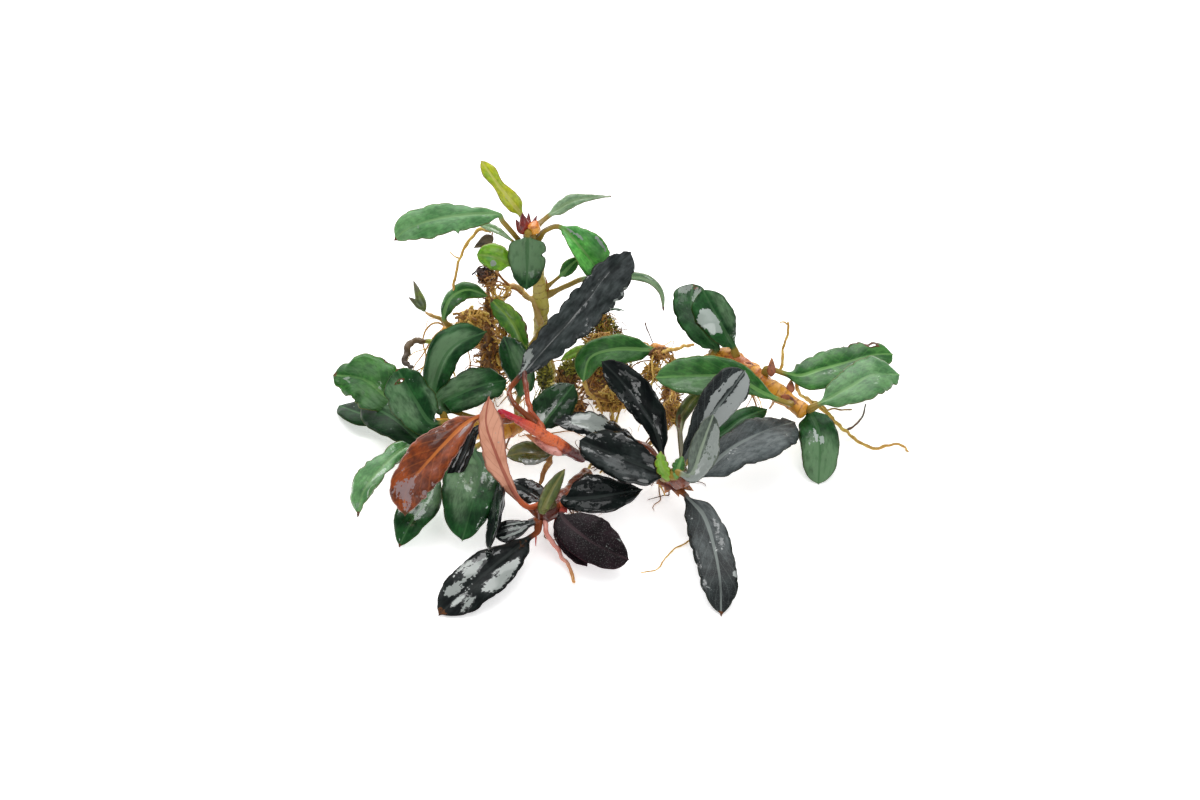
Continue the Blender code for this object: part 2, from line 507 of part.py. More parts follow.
def make_back_leaf(crown):
    """The leaf at the back of the clump."""
    leaf("leaf_back_stem", crown, 0.4, [(-14.0, 38.0, 24), (-8.0, 39.5, 23), (0.0, 38.8, 18)],
         (2.6, 3.6, 3.6, 2.8), (2.6, 3.6, 3.6, 2.8), (0.0, 0.4, 0.9), DEEP_GREEN)


def make_roots():
    """The root masses and the free roots."""
    mound("root_mass", -4.4, 18.2, (10.6, 11.0), 24.5, 0.06, ROOT_BROWN)
    mound("root_mat", -2.5, 2.4, (9.0, 9.6), 5.5, 0.04, ROOT_BROWN, around=20, levels=4)
    mound("root_clump_right", 12.0, 14.0, (5.2, 6.4), 17.5, 0.06, ROOT_BROWN, around=16, levels=5)
    mound("root_clump_left", -32.6, 18.6, (8.4, 7.4), 32.0, 0.08, ROOT_BROWN, around=18)
    root("root_right", [(44.5, 17.5, 6.0), (49.7, 13.7, 4.0), (54.5, 8.9, 2.2), (60.5, 5.3, 1.2),
                        (66.6, 6.2, 0.7), (69.5, 4.3, 0.4)], 0.55, ROOT_BROWN)
    root("root_upright", [(38.2, 24.5, 15.8), (39.0, 29.0, 20.5), (40.3, 36.0, 28)],
         0.45, ROOT_BROWN, steps=5)


def main():
    for old in list(bpy.data.objects):
        bpy.data.objects.remove(old, do_unlink=True)
    shoots = make_shoots()
    make_crown_leaves(shoots["crown"])
    make_rear_left_leaves(shoots["rear_left"], shoots["left"], shoots["crown"])
    make_left_leaves(shoots["left"])
    make_red_leaves(shoots["red"])
    make_front_leaves(shoots["front"])
    make_centre_leaves(shoots["centre"])
    make_right_leaves(shoots["right"], shoots["middle"])
    make_back_leaf(shoots["crown"])
    make_roots()


main()
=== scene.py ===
"""The looks of a clump of bucephalandra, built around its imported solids.

Every leaf, rhizome and root mass of the frame is replaced by a fine mesh in the same
place. The pieces that are too small for the frame are added: buds, scales, cut stalks,
thin roots, root fibres and moss. Lengths are in millimetres until a mesh is made.
"""

import logging
import math
from collections.abc import Sequence
from dataclasses import dataclass, field
from enum import Enum

import bpy
import numpy as np
from mathutils import Matrix, Vector


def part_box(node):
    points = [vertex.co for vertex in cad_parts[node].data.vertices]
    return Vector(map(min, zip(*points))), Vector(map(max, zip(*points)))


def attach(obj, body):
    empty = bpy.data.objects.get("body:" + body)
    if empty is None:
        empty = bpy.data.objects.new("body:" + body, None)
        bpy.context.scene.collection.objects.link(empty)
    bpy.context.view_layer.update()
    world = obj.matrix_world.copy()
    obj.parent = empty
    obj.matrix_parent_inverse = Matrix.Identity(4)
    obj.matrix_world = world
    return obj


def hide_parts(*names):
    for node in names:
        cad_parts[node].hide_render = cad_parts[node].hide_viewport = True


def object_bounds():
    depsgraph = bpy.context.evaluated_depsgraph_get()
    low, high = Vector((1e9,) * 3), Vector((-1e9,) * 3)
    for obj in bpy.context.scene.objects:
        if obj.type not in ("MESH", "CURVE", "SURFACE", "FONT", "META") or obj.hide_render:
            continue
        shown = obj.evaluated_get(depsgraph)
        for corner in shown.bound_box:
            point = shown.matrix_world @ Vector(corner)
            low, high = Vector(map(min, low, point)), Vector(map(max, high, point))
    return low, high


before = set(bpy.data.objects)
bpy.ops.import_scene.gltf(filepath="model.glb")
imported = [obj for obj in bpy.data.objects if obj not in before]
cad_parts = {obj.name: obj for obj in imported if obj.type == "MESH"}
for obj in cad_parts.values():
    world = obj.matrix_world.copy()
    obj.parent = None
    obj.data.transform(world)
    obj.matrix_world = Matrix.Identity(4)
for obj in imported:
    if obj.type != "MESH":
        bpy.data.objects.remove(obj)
CAD_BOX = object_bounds()

Colour = tuple[float, float, float]
Place = tuple[float, float, float]
Widths = tuple[float, float, float, float]
Array = np.ndarray
Faces = list[list[int]]
Piece = bpy.types.Object
Material = bpy.types.Material
Socket = bpy.types.NodeSocket

LOG = logging.getLogger("bucephalandra")
MM = 0.001
BODY = "root"
BOX_MARGIN = 0.02

# Places are written as the clump is seen from the front and from 37 degrees above the
# ground: millimetres across, millimetres up that view, and millimetres off the ground.
LOOK_DOWN = 0.6
LOOK_LEVEL = 0.8
BACKSET = 7.8

STALK_RADIUS = 0.65
STALK_GAP = 0.45


def rgb(red: int, green: int, blue: int) -> Colour:
    """A colour as the eye sees it, from 0 to 255, as the amounts of light it gives back."""
    shares = (red / 255, green / 255, blue / 255)
    return tuple(c / 12.92 if c <= 0.04045 else ((c + 0.055) / 1.055) ** 2.4 for c in shares)


def place(across: float, rise: float, height: float) -> Array:
    """A place in millimetres from how far across, up the view and off the ground it is."""
    back = (rise - LOOK_LEVEL * height) / LOOK_DOWN + BACKSET
    return np.array((across, back, height), float)


def places(points: Sequence[Place]) -> list[Array]:
    """Several places at once."""
    return [place(*point) for point in points]


def unit(vectors: Array) -> Array:
    """The same directions with a length of one."""
    return vectors / np.maximum(np.linalg.norm(vectors, axis=-1, keepdims=True), 1e-9)


def smooth(value: Array, low: float, high: float) -> Array:
    """Rises softly from 0 at low to 1 at high."""
    share = np.clip((value - low) / (high - low), 0.0, 1.0)
    return share * share * (3 - 2 * share)


def bell(value: Array, width: float) -> Array:
    """1 where value is zero, and fading to 0 on both sides over about the width."""
    return np.exp(-(value / width) ** 2)


def rounded(near: Array, least: float) -> Array:
    """How full a round end is, from the share of its own radius that a ring is inside it."""
    return np.sqrt(np.clip(1 - (1 - np.minimum(near, 1.0)) ** 2, least, 1.0))[:, None]


def sideways(along: Array, lean: Sequence[float]) -> tuple[Array, Array]:
    """Two directions across a line, the first one square to the lean."""
    side = unit(np.cross(along, lean))
    return side, np.cross(side, along)


def turns(sides: int) -> Array:
    """The angles of points spread evenly round a ring."""
    return math.tau * np.arange(sides) / sides


def shown(name: str, data: bpy.types.ID) -> Piece:
    """Adds an object to the scene.

    Args:
        name: its name.
        data: its mesh, light or camera.

    Returns:
        The object.
    """
    made = bpy.data.objects.new(name, data)
    bpy.context.scene.collection.objects.link(made)
    return made


class Bumps:
    """A smooth random field over space, from about -1 to 1."""

    def __init__(self, seed: int, size: float, count: int = 9) -> None:
        """Sets up the waves that add up to the field.

        Args:
            seed: which field it is.
            size: the size of its bumps in millimetres.
            count: how many waves it has.
        """
        rng = np.random.default_rng(seed)
        self.waves = unit(rng.normal(size=(count, 3))) * math.tau / size
        self.waves *= rng.uniform(0.6, 1.5, (count, 1))
        self.starts = rng.uniform(0, math.tau, count)

    def at(self, points: Array) -> Array:
        """The field's value at each point."""
        return np.sin(points @ self.waves.T + self.starts).mean(axis=-1) * 2.0


class Path:
    """A smooth curve through a few points, read by the share of its length."""

    FINENESS = 36
    GLANCE = 0.02

    def __init__(self, points: Sequence[Array]) -> None:
        """Draws the curve.

        Args:
            points: the places that it goes through, in order.
        """
        knots = np.array(points, float)
        ends = np.vstack([2 * knots[0] - knots[1], knots, 2 * knots[-1] - knots[-2]])
        t = np.arange(self.FINENESS)[:, None] / self.FINENESS
        dense = []
        for i in range(1, len(ends) - 2):
            before, start, end, after = ends[i - 1:i + 3]
            dense.append(0.5 * (
                2 * start + (end - before) * t
                + (2 * before - 5 * start + 4 * end - after) * t ** 2
                + (3 * start - before - 3 * end + after) * t ** 3
            ))
        self.points = np.vstack([*dense, knots[-1:]])
        steps = np.linalg.norm(np.diff(self.points, axis=0), axis=1)
        self.run = np.concatenate([[0.0], np.cumsum(steps)])
        self.length = float(self.run[-1])
        self.knots = self.run[::self.FINENESS] / self.length

    def at(self, share: Array | float) -> Array:
        """The points at these shares of the length, from 0 to 1."""
        run = np.asarray(share, float) * self.length
        return np.stack([np.interp(run, self.run, self.points[:, i]) for i in range(3)], axis=-1)

    def heading(self, share: Array | float) -> Array:
        """The directions of travel.

        Args:
            share: shares of the length, from 0 to 1.

        Returns:
            A direction for each of them.
        """
        share = np.asarray(share, float)
        ahead = self.at(np.minimum(share + self.GLANCE, 1.0))
        behind = self.at(np.maximum(share - self.GLANCE, 0.0))
        return unit(ahead - behind)


# Nodes of a material

class Graph:
    """A material and its nodes, with short ways to add the usual ones."""

    def __init__(self, name: str) -> None:
        """Starts the material.

        Args:
            name: what it is called.
        """
        self.material = bpy.data.materials.new(name)
        self.material.use_nodes = True
        self.tree = self.material.node_tree
        self.shader = self.tree.nodes["Principled BSDF"]

    def feed(self, socket: Socket, value: object) -> None:
        """Links a socket, or sets its own value.

        Args:
            socket: the input.
            value: another node's socket, a number, a colour or a vector.
        """
        if isinstance(value, Socket):
            self.tree.links.new(value, socket)
        elif isinstance(value, tuple) and socket.type == "RGBA":
            socket.default_value = (*value, 1.0)
        elif isinstance(value, float) and socket.type == "VECTOR":
            socket.default_value = (value, value, value)
        else:
            socket.default_value = value

    def node(self, kind: str, feeds: dict[int | str, object], **settings: object) -> bpy.types.Node:
        """Adds a node.

        Args:
            kind: the node's type, without the words that all types start with.
            feeds: its inputs by name or number.
            settings: its own properties.

        Returns:
            The node.
        """
        made = self.tree.nodes.new(f"ShaderNode{kind}")
        for key, value in settings.items():
            setattr(made, key, value)
        for key, value in feeds.items():
            self.feed(made.inputs[key], value)
        return made

    def maths(self, operation: str, a: object, b: object = 0.0) -> Socket:
        """One sum on numbers."""
        return self.node("Math", {0: a, 1: b}, operation=operation).outputs[0]

    def add(self, a: object, b: object) -> Socket:
        """The sum of two numbers."""
        return self.maths("ADD", a, b)

    def times(self, a: object, b: object) -> Socket:
        """The product of two numbers."""
        return self.maths("MULTIPLY", a, b)

    def ramp(self, value: object, low: float, high: float, start: float = 0.0,
             end: float = 1.0) -> Socket:
        """Goes softly from start to end while value goes from low to high."""
        feeds = {"Value": value, "From Min": low, "From Max": high, "To Min": start, "To Max": end}
        return self.node("MapRange", feeds, interpolation_type="SMOOTHSTEP").outputs[0]

    def mix(self, share: object, low: object, high: object) -> Socket:
        """A colour between two others."""
        return self.node("Mix", {0: share, 6: low, 7: high}, data_type="RGBA").outputs[2]

    def noise(self, where: Socket, size: float, detail: float = 3.0) -> Socket:
        """Noise with lumps of about that size in millimetres, from 0 to 1."""
        feeds = {"Vector": where, "Scale": 1 / (size * MM), "Detail": detail, "Roughness": 0.55}
        return self.node("TexNoise", feeds).outputs[0]

    def swing(self, noise: Socket, start: float, end: float) -> Socket:
        """Noise with its middle spread to run from start to end."""
        return self.ramp(noise, 0.3, 0.7, start, end)

    def cells(self, where: Socket, size: float) -> Socket:
        """The distance to the nearest of many scattered points, about that far apart."""
        return self.node("TexVoronoi", {"Vector": where, "Scale": 1 / (size * MM)}).outputs[0]

    def field(self, name: str) -> Socket:
        """A mesh attribute."""
        return self.node("Attribute", {}, attribute_name=name).outputs["Vector"]

    def parts(self, name: str) -> tuple[Socket, ...]:
        """The three numbers of a mesh attribute."""
        return tuple(self.node("SeparateXYZ", {0: self.field(name)}).outputs)

    def space(self, seed: object = 0.0) -> Socket:
        """The piece's own coordinates, moved by a seed so that each piece differs."""
        own = self.node("TexCoord", {}).outputs["Object"]
        return self.node("VectorMath", {0: own, 1: seed}, operation="ADD").outputs[0]

    def bump(self, height: object, depth: float) -> Socket:
        """Relief of that depth in millimetres."""
        return self.node("Bump", {"Height": height, "Distance": depth * MM, "Strength": 1.0}).outputs[0]

    def finish(self, **inputs: object) -> Material:
        """Feeds the shader and hands over.

        Args:
            inputs: the shader's inputs, by name with underscores.

        Returns:
            The material.
        """
        for key, value in inputs.items():
            self.feed(self.shader.inputs[key.replace("_", " ")], value)
        return self.material


# Finishes

@dataclass(frozen=True)
class LeafFinish:
    """A kind of leaf: its colours on both sides and how wet it is.

    dry is the roughness outside a film of water, sheen is how strongly the dry blade
    shines, and vein is how far the side veins stand out. The sizes of its markings are
    in millimetres.
    """

    name: str
    slot: str
    upper: Colour
    second: Colour
    under: Colour
    rib: Colour
    edge: Colour
    stalk: Colour = rgb(150, 125, 52)
    # The colour of pale speckles and of painted reflections.
    speckle_and_reflection: Colour = rgb(150, 157, 152)
    # The colour of a painted sheen.
    painted_sheen_colour: Colour = rgb(122, 156, 116)
    vein: float = 0.12
    speckle: float = 0.0
    dry: float = 0.34
    sheen: float = 0.5

    WILTED = rgb(92, 56, 30)
    WET = 0.16
    PATCH = 5.0
    FINE = 0.9
    STREAK = 0.5
    DOT = 0.34
    WISP = 1.0
    CLOUD = 3.0
    TEAR = 2.4
    NICK = 0.7
    PORE = 0.45

    def face(self, g: Graph, where: Socket, grain: Socket, vein: Socket, shade: Socket,
             painted_sheen: Socket) -> Socket:
        """The colour of the upper side: patches, veins, dots and a painted sheen.

        Args:
            g: the material.
            where: the leaf's own space.
            grain: the same along its length, for streaks.
            vein: how much each place is on a side vein.
            shade: how light each place is.
            painted_sheen: how much painted sheen each place has.

        Returns:
            The colour.
        """
        patches = g.ramp(g.noise(where, self.PATCH), 0.35, 0.65)
        colour = g.mix(patches, self.upper, self.second)
        colour = g.node("VectorMath", {0: colour, 3: shade}, operation="SCALE").outputs[0]
        colour = g.mix(vein, colour, self.rib)
        # Pale speckles of the leaf itself, in the same colour as the painted reflections.
        dots = g.ramp(g.cells(where, self.DOT), 0.3, 0.12, 0.0, self.speckle)
        colour = g.mix(dots, colour, self.speckle_and_reflection)
        # Painted sheen: a pale colour mixed into the blade, in streaks and soft clouds, where it would shine.
        cloud = g.times(painted_sheen, g.swing(g.noise(grain, self.WISP, 4.0), 0.66, 1.34))
        cloud = g.add(cloud, g.swing(g.noise(where, self.CLOUD, 3.0), -0.07, 0.07))
        return g.mix(g.ramp(cloud, 0.0, 1.0, 0.0, 0.62), colour, self.painted_sheen_colour)

    def material(self) -> Material:
        """The material, which reads the leaf's own attributes.

        Returns:
            The material.
        """
        g = Graph(self.name)
        from_rib, to_edge, phase = g.parts("leaf_lines")
        along, upper, stalk = g.parts("leaf_parts")
        film, wilt, painted_sheen = g.parts("leaf_marks")
        tone, matte, speckle_and_reflection = g.parts("leaf_looks")
        grain = g.field("leaf_grain")
        where = g.space(g.parts("leaf_grain")[2])
        fine = g.noise(where, self.FINE, 4.0)
        line = g.maths("ABSOLUTE", g.maths("SUBTRACT", g.maths("FRACT", phase), 0.5))
        vein = g.times(g.ramp(line, 0.12, 0.0), self.vein)
        streaks = g.swing(g.noise(grain, self.STREAK, 3.0), 0.8, 1.2)
        shade = g.times(g.times(tone, streaks), g.swing(fine, 0.86, 1.14))
        below = g.mix(g.swing(g.noise(where, self.PATCH), 0.0, 1.0), self.under, self.second)
        above = self.face(g, where, grain, vein, shade, painted_sheen)
        colour = g.mix(upper, g.mix(vein, below, self.rib), above)
        rib = g.ramp(g.maths("SUBTRACT", from_rib, g.ramp(along, 0.0, 1.0, 0.5, 0.18)), 0.12, -0.08)
        colour = g.mix(g.times(rib, 0.75), colour, self.rib)
        colour = g.mix(g.ramp(to_edge, 0.34, 0.05, 0.0, 0.8), colour, self.edge)
        colour = g.mix(stalk, colour, self.stalk)
        ragged = g.add(wilt, g.ramp(fine, 0.2, 0.8, -0.3, 0.3))
        colour = g.mix(g.ramp(ragged, 0.35, 0.6), colour, self.WILTED)
        torn = g.add(g.swing(g.noise(grain, self.TEAR, 5.0), -0.42, 0.42),
                     g.swing(g.noise(where, self.NICK, 5.0), -0.14, 0.14))
        wet = g.ramp(g.add(film, torn), 0.46, 0.54)
        # Painted reflections: a pale silver colour mixed into the blade where the reflection marks are.
        shown = g.ramp(g.add(speckle_and_reflection, torn), 0.46, 0.56)
        colour = g.mix(g.times(shown, 0.85), colour, self.speckle_and_reflection)
        plain = g.add(matte, g.ramp(fine, 0.0, 1.0, self.dry - 0.05, self.dry + 0.05))
        rough = g.node("Mix", {0: wet, 2: plain, 3: self.WET}).outputs[0]
        relief = g.add(g.times(g.noise(where, self.PORE, 2.0), 0.5), vein)
        normal = g.bump(g.times(relief, g.ramp(wet, 0.0, 1.0, 1.0, 0.3)), 0.05)
        return g.finish(Base_Color=colour, Roughness=rough, Normal=normal, Coat_Weight=wet,
                        Coat_Roughness=0.11, Coat_IOR=1.55, Specular_IOR_Level=self.sheen)


@dataclass(frozen=True)
class StemFinish:
    """A kind of rhizome, stem, bud or scale.

    skin turns into second over part of the stem where blend isn't zero, and flush is the
    colour of the young end.
    """

    name: str
    slot: str
    skin: Colour
    second: Colour
    scar: Colour
    flush: Colour
    rough: float = 0.42
    coat: float = 0.35
    blend: float = 0.0

    PATCH = 4.0
    FINE = 0.6

    def material(self) -> Material:
        """The material: skin that changes colour along the stem, and dark old scars.

        Returns:
            The material.
        """
        g = Graph(self.name)
        along, ridge, seed = g.parts("stem_parts")
        where = g.space(seed)
        fine = g.noise(where, self.FINE, 5.0)
        level = g.add(g.noise(where, self.PATCH), g.ramp(along, 0.1, 0.55, -self.blend, self.blend))
        colour = g.mix(g.ramp(level, 0.35, 0.65), self.skin, self.second)
        colour = g.mix(g.ramp(along, 0.5, 0.95), colour, self.flush)
        worn = g.times(g.ramp(ridge, 0.3, 0.8), g.ramp(fine, 0.35, 0.62, 0.0, 0.6))
        colour = g.mix(worn, colour, self.scar)
        colour = g.mix(g.ramp(fine, 0.56, 0.72, 0.0, 0.6), colour, self.scar)
        rough = g.swing(fine, self.rough - 0.1, self.rough + 0.15)
        return g.finish(Base_Color=colour, Roughness=rough, Coat_Weight=self.coat,
                        Coat_Roughness=0.12, Normal=g.bump(fine, 0.09))


@dataclass(frozen=True)
class RootFinish:
    """A kind of root, root hair or moss, as many strands of different tones."""

    name: str
    slot: str
    pale: Colour
    middle: Colour
    dark: Colour
    rough: float = 0.62

    SPOT = 1.1
    FIBRE = 0.3

    def material(self) -> Material:
        """The material: each strand has its own tone between dark and pale.

        Returns:
            The material.
        """
        g = Graph(self.name)
        tone, _, seed = g.parts("strand_parts")
        where = g.space(seed)
        spots = g.noise(where, self.SPOT, 4.0)
        level = g.add(tone, g.ramp(spots, 0.25, 0.75, -0.28, 0.28))
        colour = g.mix(g.ramp(level, 0.0, 0.5), self.dark, self.middle)
        colour = g.mix(g.ramp(level, 0.5, 1.0), colour, self.pale)
        rough = g.ramp(spots, 0.2, 0.8, self.rough - 0.15, self.rough + 0.12)
        return g.finish(Base_Color=colour, Roughness=rough, Coat_Weight=0.15,
                        Coat_Roughness=0.2, Normal=g.bump(g.noise(where, self.FIBRE), 0.06))


@dataclass(frozen=True)
class FloorFinish:
    """The pale floor, with a very faint unevenness."""

    name: str = "floor"
    tone: Colour = (0.93, 0.93, 0.93)
    cloud: float = 60.0
    glow: float = 0.5

    def material(self) -> Material:
        """The material, plain and matte.

        Returns:
            The material.
        """
        g = Graph(self.name)
        cloud = g.swing(g.noise(g.space(), self.cloud), 0.0, 1.0)
        colour = g.mix(cloud, self.tone, tuple(c * 0.99 for c in self.tone))
        return g.finish(Base_Color=colour, Roughness=0.85, Emission_Color=(1.0, 1.0, 1.0),
                        Emission_Strength=self.glow)


Finish = LeafFinish | StemFinish | RootFinish


class Palette:
    """Makes the material of each finish once."""

    def __init__(self) -> None:
        """Starts with no material made."""
        self.made: dict[str, Material] = {}

    def of(self, finish: Finish | FloorFinish) -> Material:
        """The material of a finish, made when it is first asked for.

        Args:
            finish: what it covers.

        Returns:
            The material.
        """
        if finish.name not in self.made:
            self.made[finish.name] = finish.material()
        return self.made[finish.name]


PALETTE = Palette()

DEEP_GREEN = LeafFinish(
    "deep green leaf", "leaf_deep_green", upper=rgb(12, 48, 20), second=rgb(34, 80, 38),
    under=rgb(70, 100, 60), rib=rgb(66, 106, 64), edge=rgb(70, 84, 36), speckle_and_reflection=rgb(176, 188, 180),
    dry=0.36, sheen=0.12)
GREEN = LeafFinish(
    "green leaf", "leaf_green", upper=rgb(28, 84, 26), second=rgb(66, 122, 52),
    under=rgb(96, 126, 74), rib=rgb(112, 158, 86), edge=rgb(120, 124, 60), sheen=0.24)
SATIN_GREEN = LeafFinish(
    "satin green leaf", "leaf_green", upper=rgb(66, 120, 64), second=rgb(98, 148, 90),
    under=rgb(112, 144, 96), rib=rgb(114, 158, 96), edge=rgb(120, 108, 56), vein=0.2, dry=0.4, sheen=0.4)
PALE_GREEN = LeafFinish(
    "pale green leaf", "leaf_green", upper=rgb(86, 122, 80), second=rgb(124, 152, 116),
    under=rgb(130, 150, 120), rib=rgb(130, 160, 112), edge=rgb(120, 120, 76), dry=0.3, sheen=0.6)
SAGE = LeafFinish(
    "grey-green leaf", "leaf_grey", upper=rgb(62, 71, 64), second=rgb(94, 105, 94),
    under=rgb(110, 116, 104), rib=rgb(150, 164, 142), edge=rgb(86, 94, 76), dry=0.36, sheen=0.3)
LIME = LeafFinish(
    "lime leaf", "leaf_lime", upper=rgb(176, 182, 24), second=rgb(128, 160, 22),
    under=rgb(160, 170, 60), rib=rgb(196, 196, 96), edge=rgb(150, 112, 40), vein=0.25)
FRESH_GREEN = LeafFinish(
    "fresh green leaf", "leaf_lime", upper=rgb(44, 104, 14), second=rgb(104, 146, 30),
    under=rgb(120, 140, 60), rib=rgb(130, 166, 60), edge=rgb(140, 110, 46))
OLIVE = LeafFinish(
    "olive leaf", "leaf_lime", upper=rgb(60, 74, 26), second=rgb(92, 98, 40),
    under=rgb(110, 104, 60), rib=rgb(120, 116, 60), edge=rgb(90, 66, 36), stalk=rgb(84, 76, 36), dry=0.4)
BLACK = LeafFinish(
    "black leaf", "leaf_black", upper=rgb(8, 12, 13), second=rgb(16, 24, 22), under=rgb(52, 34, 30),
    rib=rgb(44, 50, 48), edge=rgb(46, 38, 38), stalk=rgb(128, 66, 38), painted_sheen_colour=rgb(132, 140, 140),
    dry=0.34, sheen=0.06)
GREY = LeafFinish(
    "grey leaf", "leaf_grey", upper=rgb(26, 30, 31), second=rgb(46, 52, 52), under=rgb(64, 56, 50),
    rib=rgb(130, 138, 134), edge=rgb(60, 64, 46), stalk=rgb(128, 76, 42), speckle_and_reflection=rgb(160, 165, 163),
    painted_sheen_colour=rgb(132, 140, 140), speckle=0.2, dry=0.42, sheen=0.12)
PURPLE = LeafFinish(
    "purple leaf", "leaf_purple", upper=rgb(22, 14, 18), second=rgb(36, 23, 29), under=rgb(110, 84, 92),
    rib=rgb(62, 46, 50), edge=rgb(70, 40, 48), stalk=rgb(150, 60, 50), speckle=0.3, dry=0.5, sheen=0.08)
COPPER = LeafFinish(
    "copper leaf", "leaf_copper", upper=rgb(146, 67, 24), second=rgb(86, 40, 22),
    under=rgb(170, 120, 100), rib=rgb(206, 118, 52), edge=rgb(196, 146, 136), stalk=rgb(190, 70, 44),
    speckle_and_reflection=rgb(150, 128, 128), painted_sheen_colour=rgb(170, 110, 96), vein=0.18, dry=0.36, sheen=0.2)
PINK_BROWN = LeafFinish(
    "pink-brown underside", "leaf_underside", upper=rgb(44, 30, 30), second=rgb(196, 132, 104),
    under=rgb(224, 164, 136), rib=rgb(150, 62, 46), edge=rgb(170, 100, 80), stalk=rgb(196, 96, 54),
    vein=0.3, dry=0.6, sheen=0.3)

RHIZOME_BARK = StemFinish(
    "rhizome", "rhizome", skin=rgb(228, 168, 50), second=rgb(178, 92, 24), scar=rgb(104, 38, 18),
    flush=rgb(210, 146, 46), rough=0.4, coat=0.12)
DARK_BARK = StemFinish(
    "dark rhizome", "rhizome", skin=rgb(134, 66, 36), second=rgb(92, 40, 28), scar=rgb(54, 24, 18),
    flush=rgb(150, 84, 50), rough=0.34, coat=0.6)
STEM_SKIN = StemFinish(
    "young stem", "young_stem", skin=rgb(192, 184, 80), second=rgb(204, 190, 108), scar=rgb(128, 92, 42),
    flush=rgb(172, 146, 60))
RED_SKIN = StemFinish(
    "red shoot", "red_shoot", skin=rgb(100, 24, 26), second=rgb(232, 116, 66), scar=rgb(110, 26, 30),
    flush=rgb(196, 24, 54), rough=0.3, coat=0.35, blend=0.4)
ORANGE_SKIN = StemFinish(
    "orange bud", "red_shoot", skin=rgb(226, 134, 36), second=rgb(240, 166, 60), scar=rgb(150, 50, 24),
    flush=rgb(224, 120, 30), rough=0.3, coat=0.6)
PINK_SKIN = StemFinish(
    "pink stalk", "red_shoot", skin=rgb(236, 164, 150), second=rgb(218, 128, 112), scar=rgb(150, 70, 60),
    flush=rgb(200, 140, 70), rough=0.32, coat=0.4)
SALMON_SKIN = StemFinish(
    "salmon stalk", "red_shoot", skin=rgb(206, 104, 62), second=rgb(176, 80, 46), scar=rgb(110, 44, 30),
    flush=rgb(96, 48, 34), rough=0.32, coat=0.6)
SCALE_SKIN = StemFinish(
    "red-brown scale", "rhizome", skin=rgb(158, 84, 40), second=rgb(96, 36, 22), scar=rgb(50, 22, 16),
    flush=rgb(186, 120, 66), rough=0.5, coat=0.15)
DARK_RED = StemFinish(
    "dark red scale", "red_shoot", skin=rgb(122, 22, 16), second=rgb(150, 44, 26), scar=rgb(60, 12, 12),
    flush=rgb(100, 20, 22))
DEAD_SKIN = StemFinish(
    "dead scale", "rhizome", skin=rgb(96, 78, 60), second=rgb(60, 48, 42), scar=rgb(34, 28, 26),
    flush=rgb(110, 94, 74), rough=0.6, coat=0.1)
TAN_SKIN = StemFinish(
    "cut stalk", "young_stem", skin=rgb(196, 166, 92), second=rgb(176, 136, 70), scar=rgb(120, 84, 46),
    flush=rgb(206, 164, 104))
BUD_GREEN = StemFinish(
    "green bud", "leaf_green", skin=rgb(104, 122, 44), second=rgb(66, 82, 48), scar=rgb(60, 46, 34),
    flush=rgb(96, 84, 60))
WITHERED_SKIN = StemFinish(
    "withered stalk", "young_stem", skin=rgb(150, 160, 50), second=rgb(96, 74, 40), scar=rgb(60, 44, 34),
    flush=rgb(78, 66, 58), rough=0.55, coat=0.1, blend=0.4)

GOLDEN_ROOTS = RootFinish(
    "golden roots", "roots", pale=rgb(224, 192, 96), middle=rgb(196, 148, 62), dark=rgb(136, 90, 36))
BROWN_ROOTS = RootFinish(
    "brown roots", "roots", pale=rgb(196, 146, 76), middle=rgb(150, 98, 44), dark=rgb(92, 52, 26))
FELT = RootFinish(
    "root felt", "roots", pale=rgb(176, 136, 66), middle=rgb(124, 86, 38), dark=rgb(70, 44, 22), rough=0.8)
MOSS = RootFinish(
    "moss", "roots", pale=rgb(172, 166, 56), middle=rgb(122, 118, 34), dark=rgb(44, 46, 18), rough=0.7)
DARK_ROOTS = RootFinish(
    "dark roots", "roots", pale=rgb(120, 74, 44), middle=rgb(72, 40, 26), dark=rgb(34, 18, 14))


# Meshes

def new_piece(name: str, points: Array, faces: Faces, finish: Finish,
              attributes: dict[str, Array], *nodes: str) -> Piece:
    """Makes one piece of the plant and puts it on the plant's body.

    Args:
        name: the piece's name.
        points: its corners in millimetres.
        faces: the corners of each face.
        finish: what it is covered with.
        attributes: three numbers for each corner, by name, for the material.
        nodes: the nodes of the frame that it stands for.

    Returns:
        The piece, with smooth shading.
    """
    low, high = (np.array(corner) / MM for corner in CAD_BOX)
    mesh = bpy.data.meshes.new(name)
    inside = np.clip(points.reshape(-1, 3), low + BOX_MARGIN, high - BOX_MARGIN)
    mesh.from_pydata((inside * MM).tolist(), [], faces)
    for key, values in attributes.items():
        layer = mesh.attributes.new(key, "FLOAT_VECTOR", "POINT")
        layer.data.foreach_set("vector", np.asarray(values, np.float32).ravel())
    mesh.shade_smooth()
    mesh.materials.append(PALETTE.of(finish))
    piece = shown(name, mesh)
    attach(piece, BODY)
    if nodes:
        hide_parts(*nodes)
    LOG.info("%s: %d faces, %s", name, len(faces), finish.name)
    return piece


def triples(*values: Array | float) -> Array:
    """Three numbers for each corner."""
    return np.stack(np.broadcast_arrays(*values), -1)


def spokes(side: Array, over: Array, turn: Array, flat: float = 1.0) -> Array:
    """The directions from the middle of each ring to its corners."""
    return side[..., None, :] * np.cos(turn)[:, None] + over[..., None, :] * (flat * np.sin(turn))[:, None]


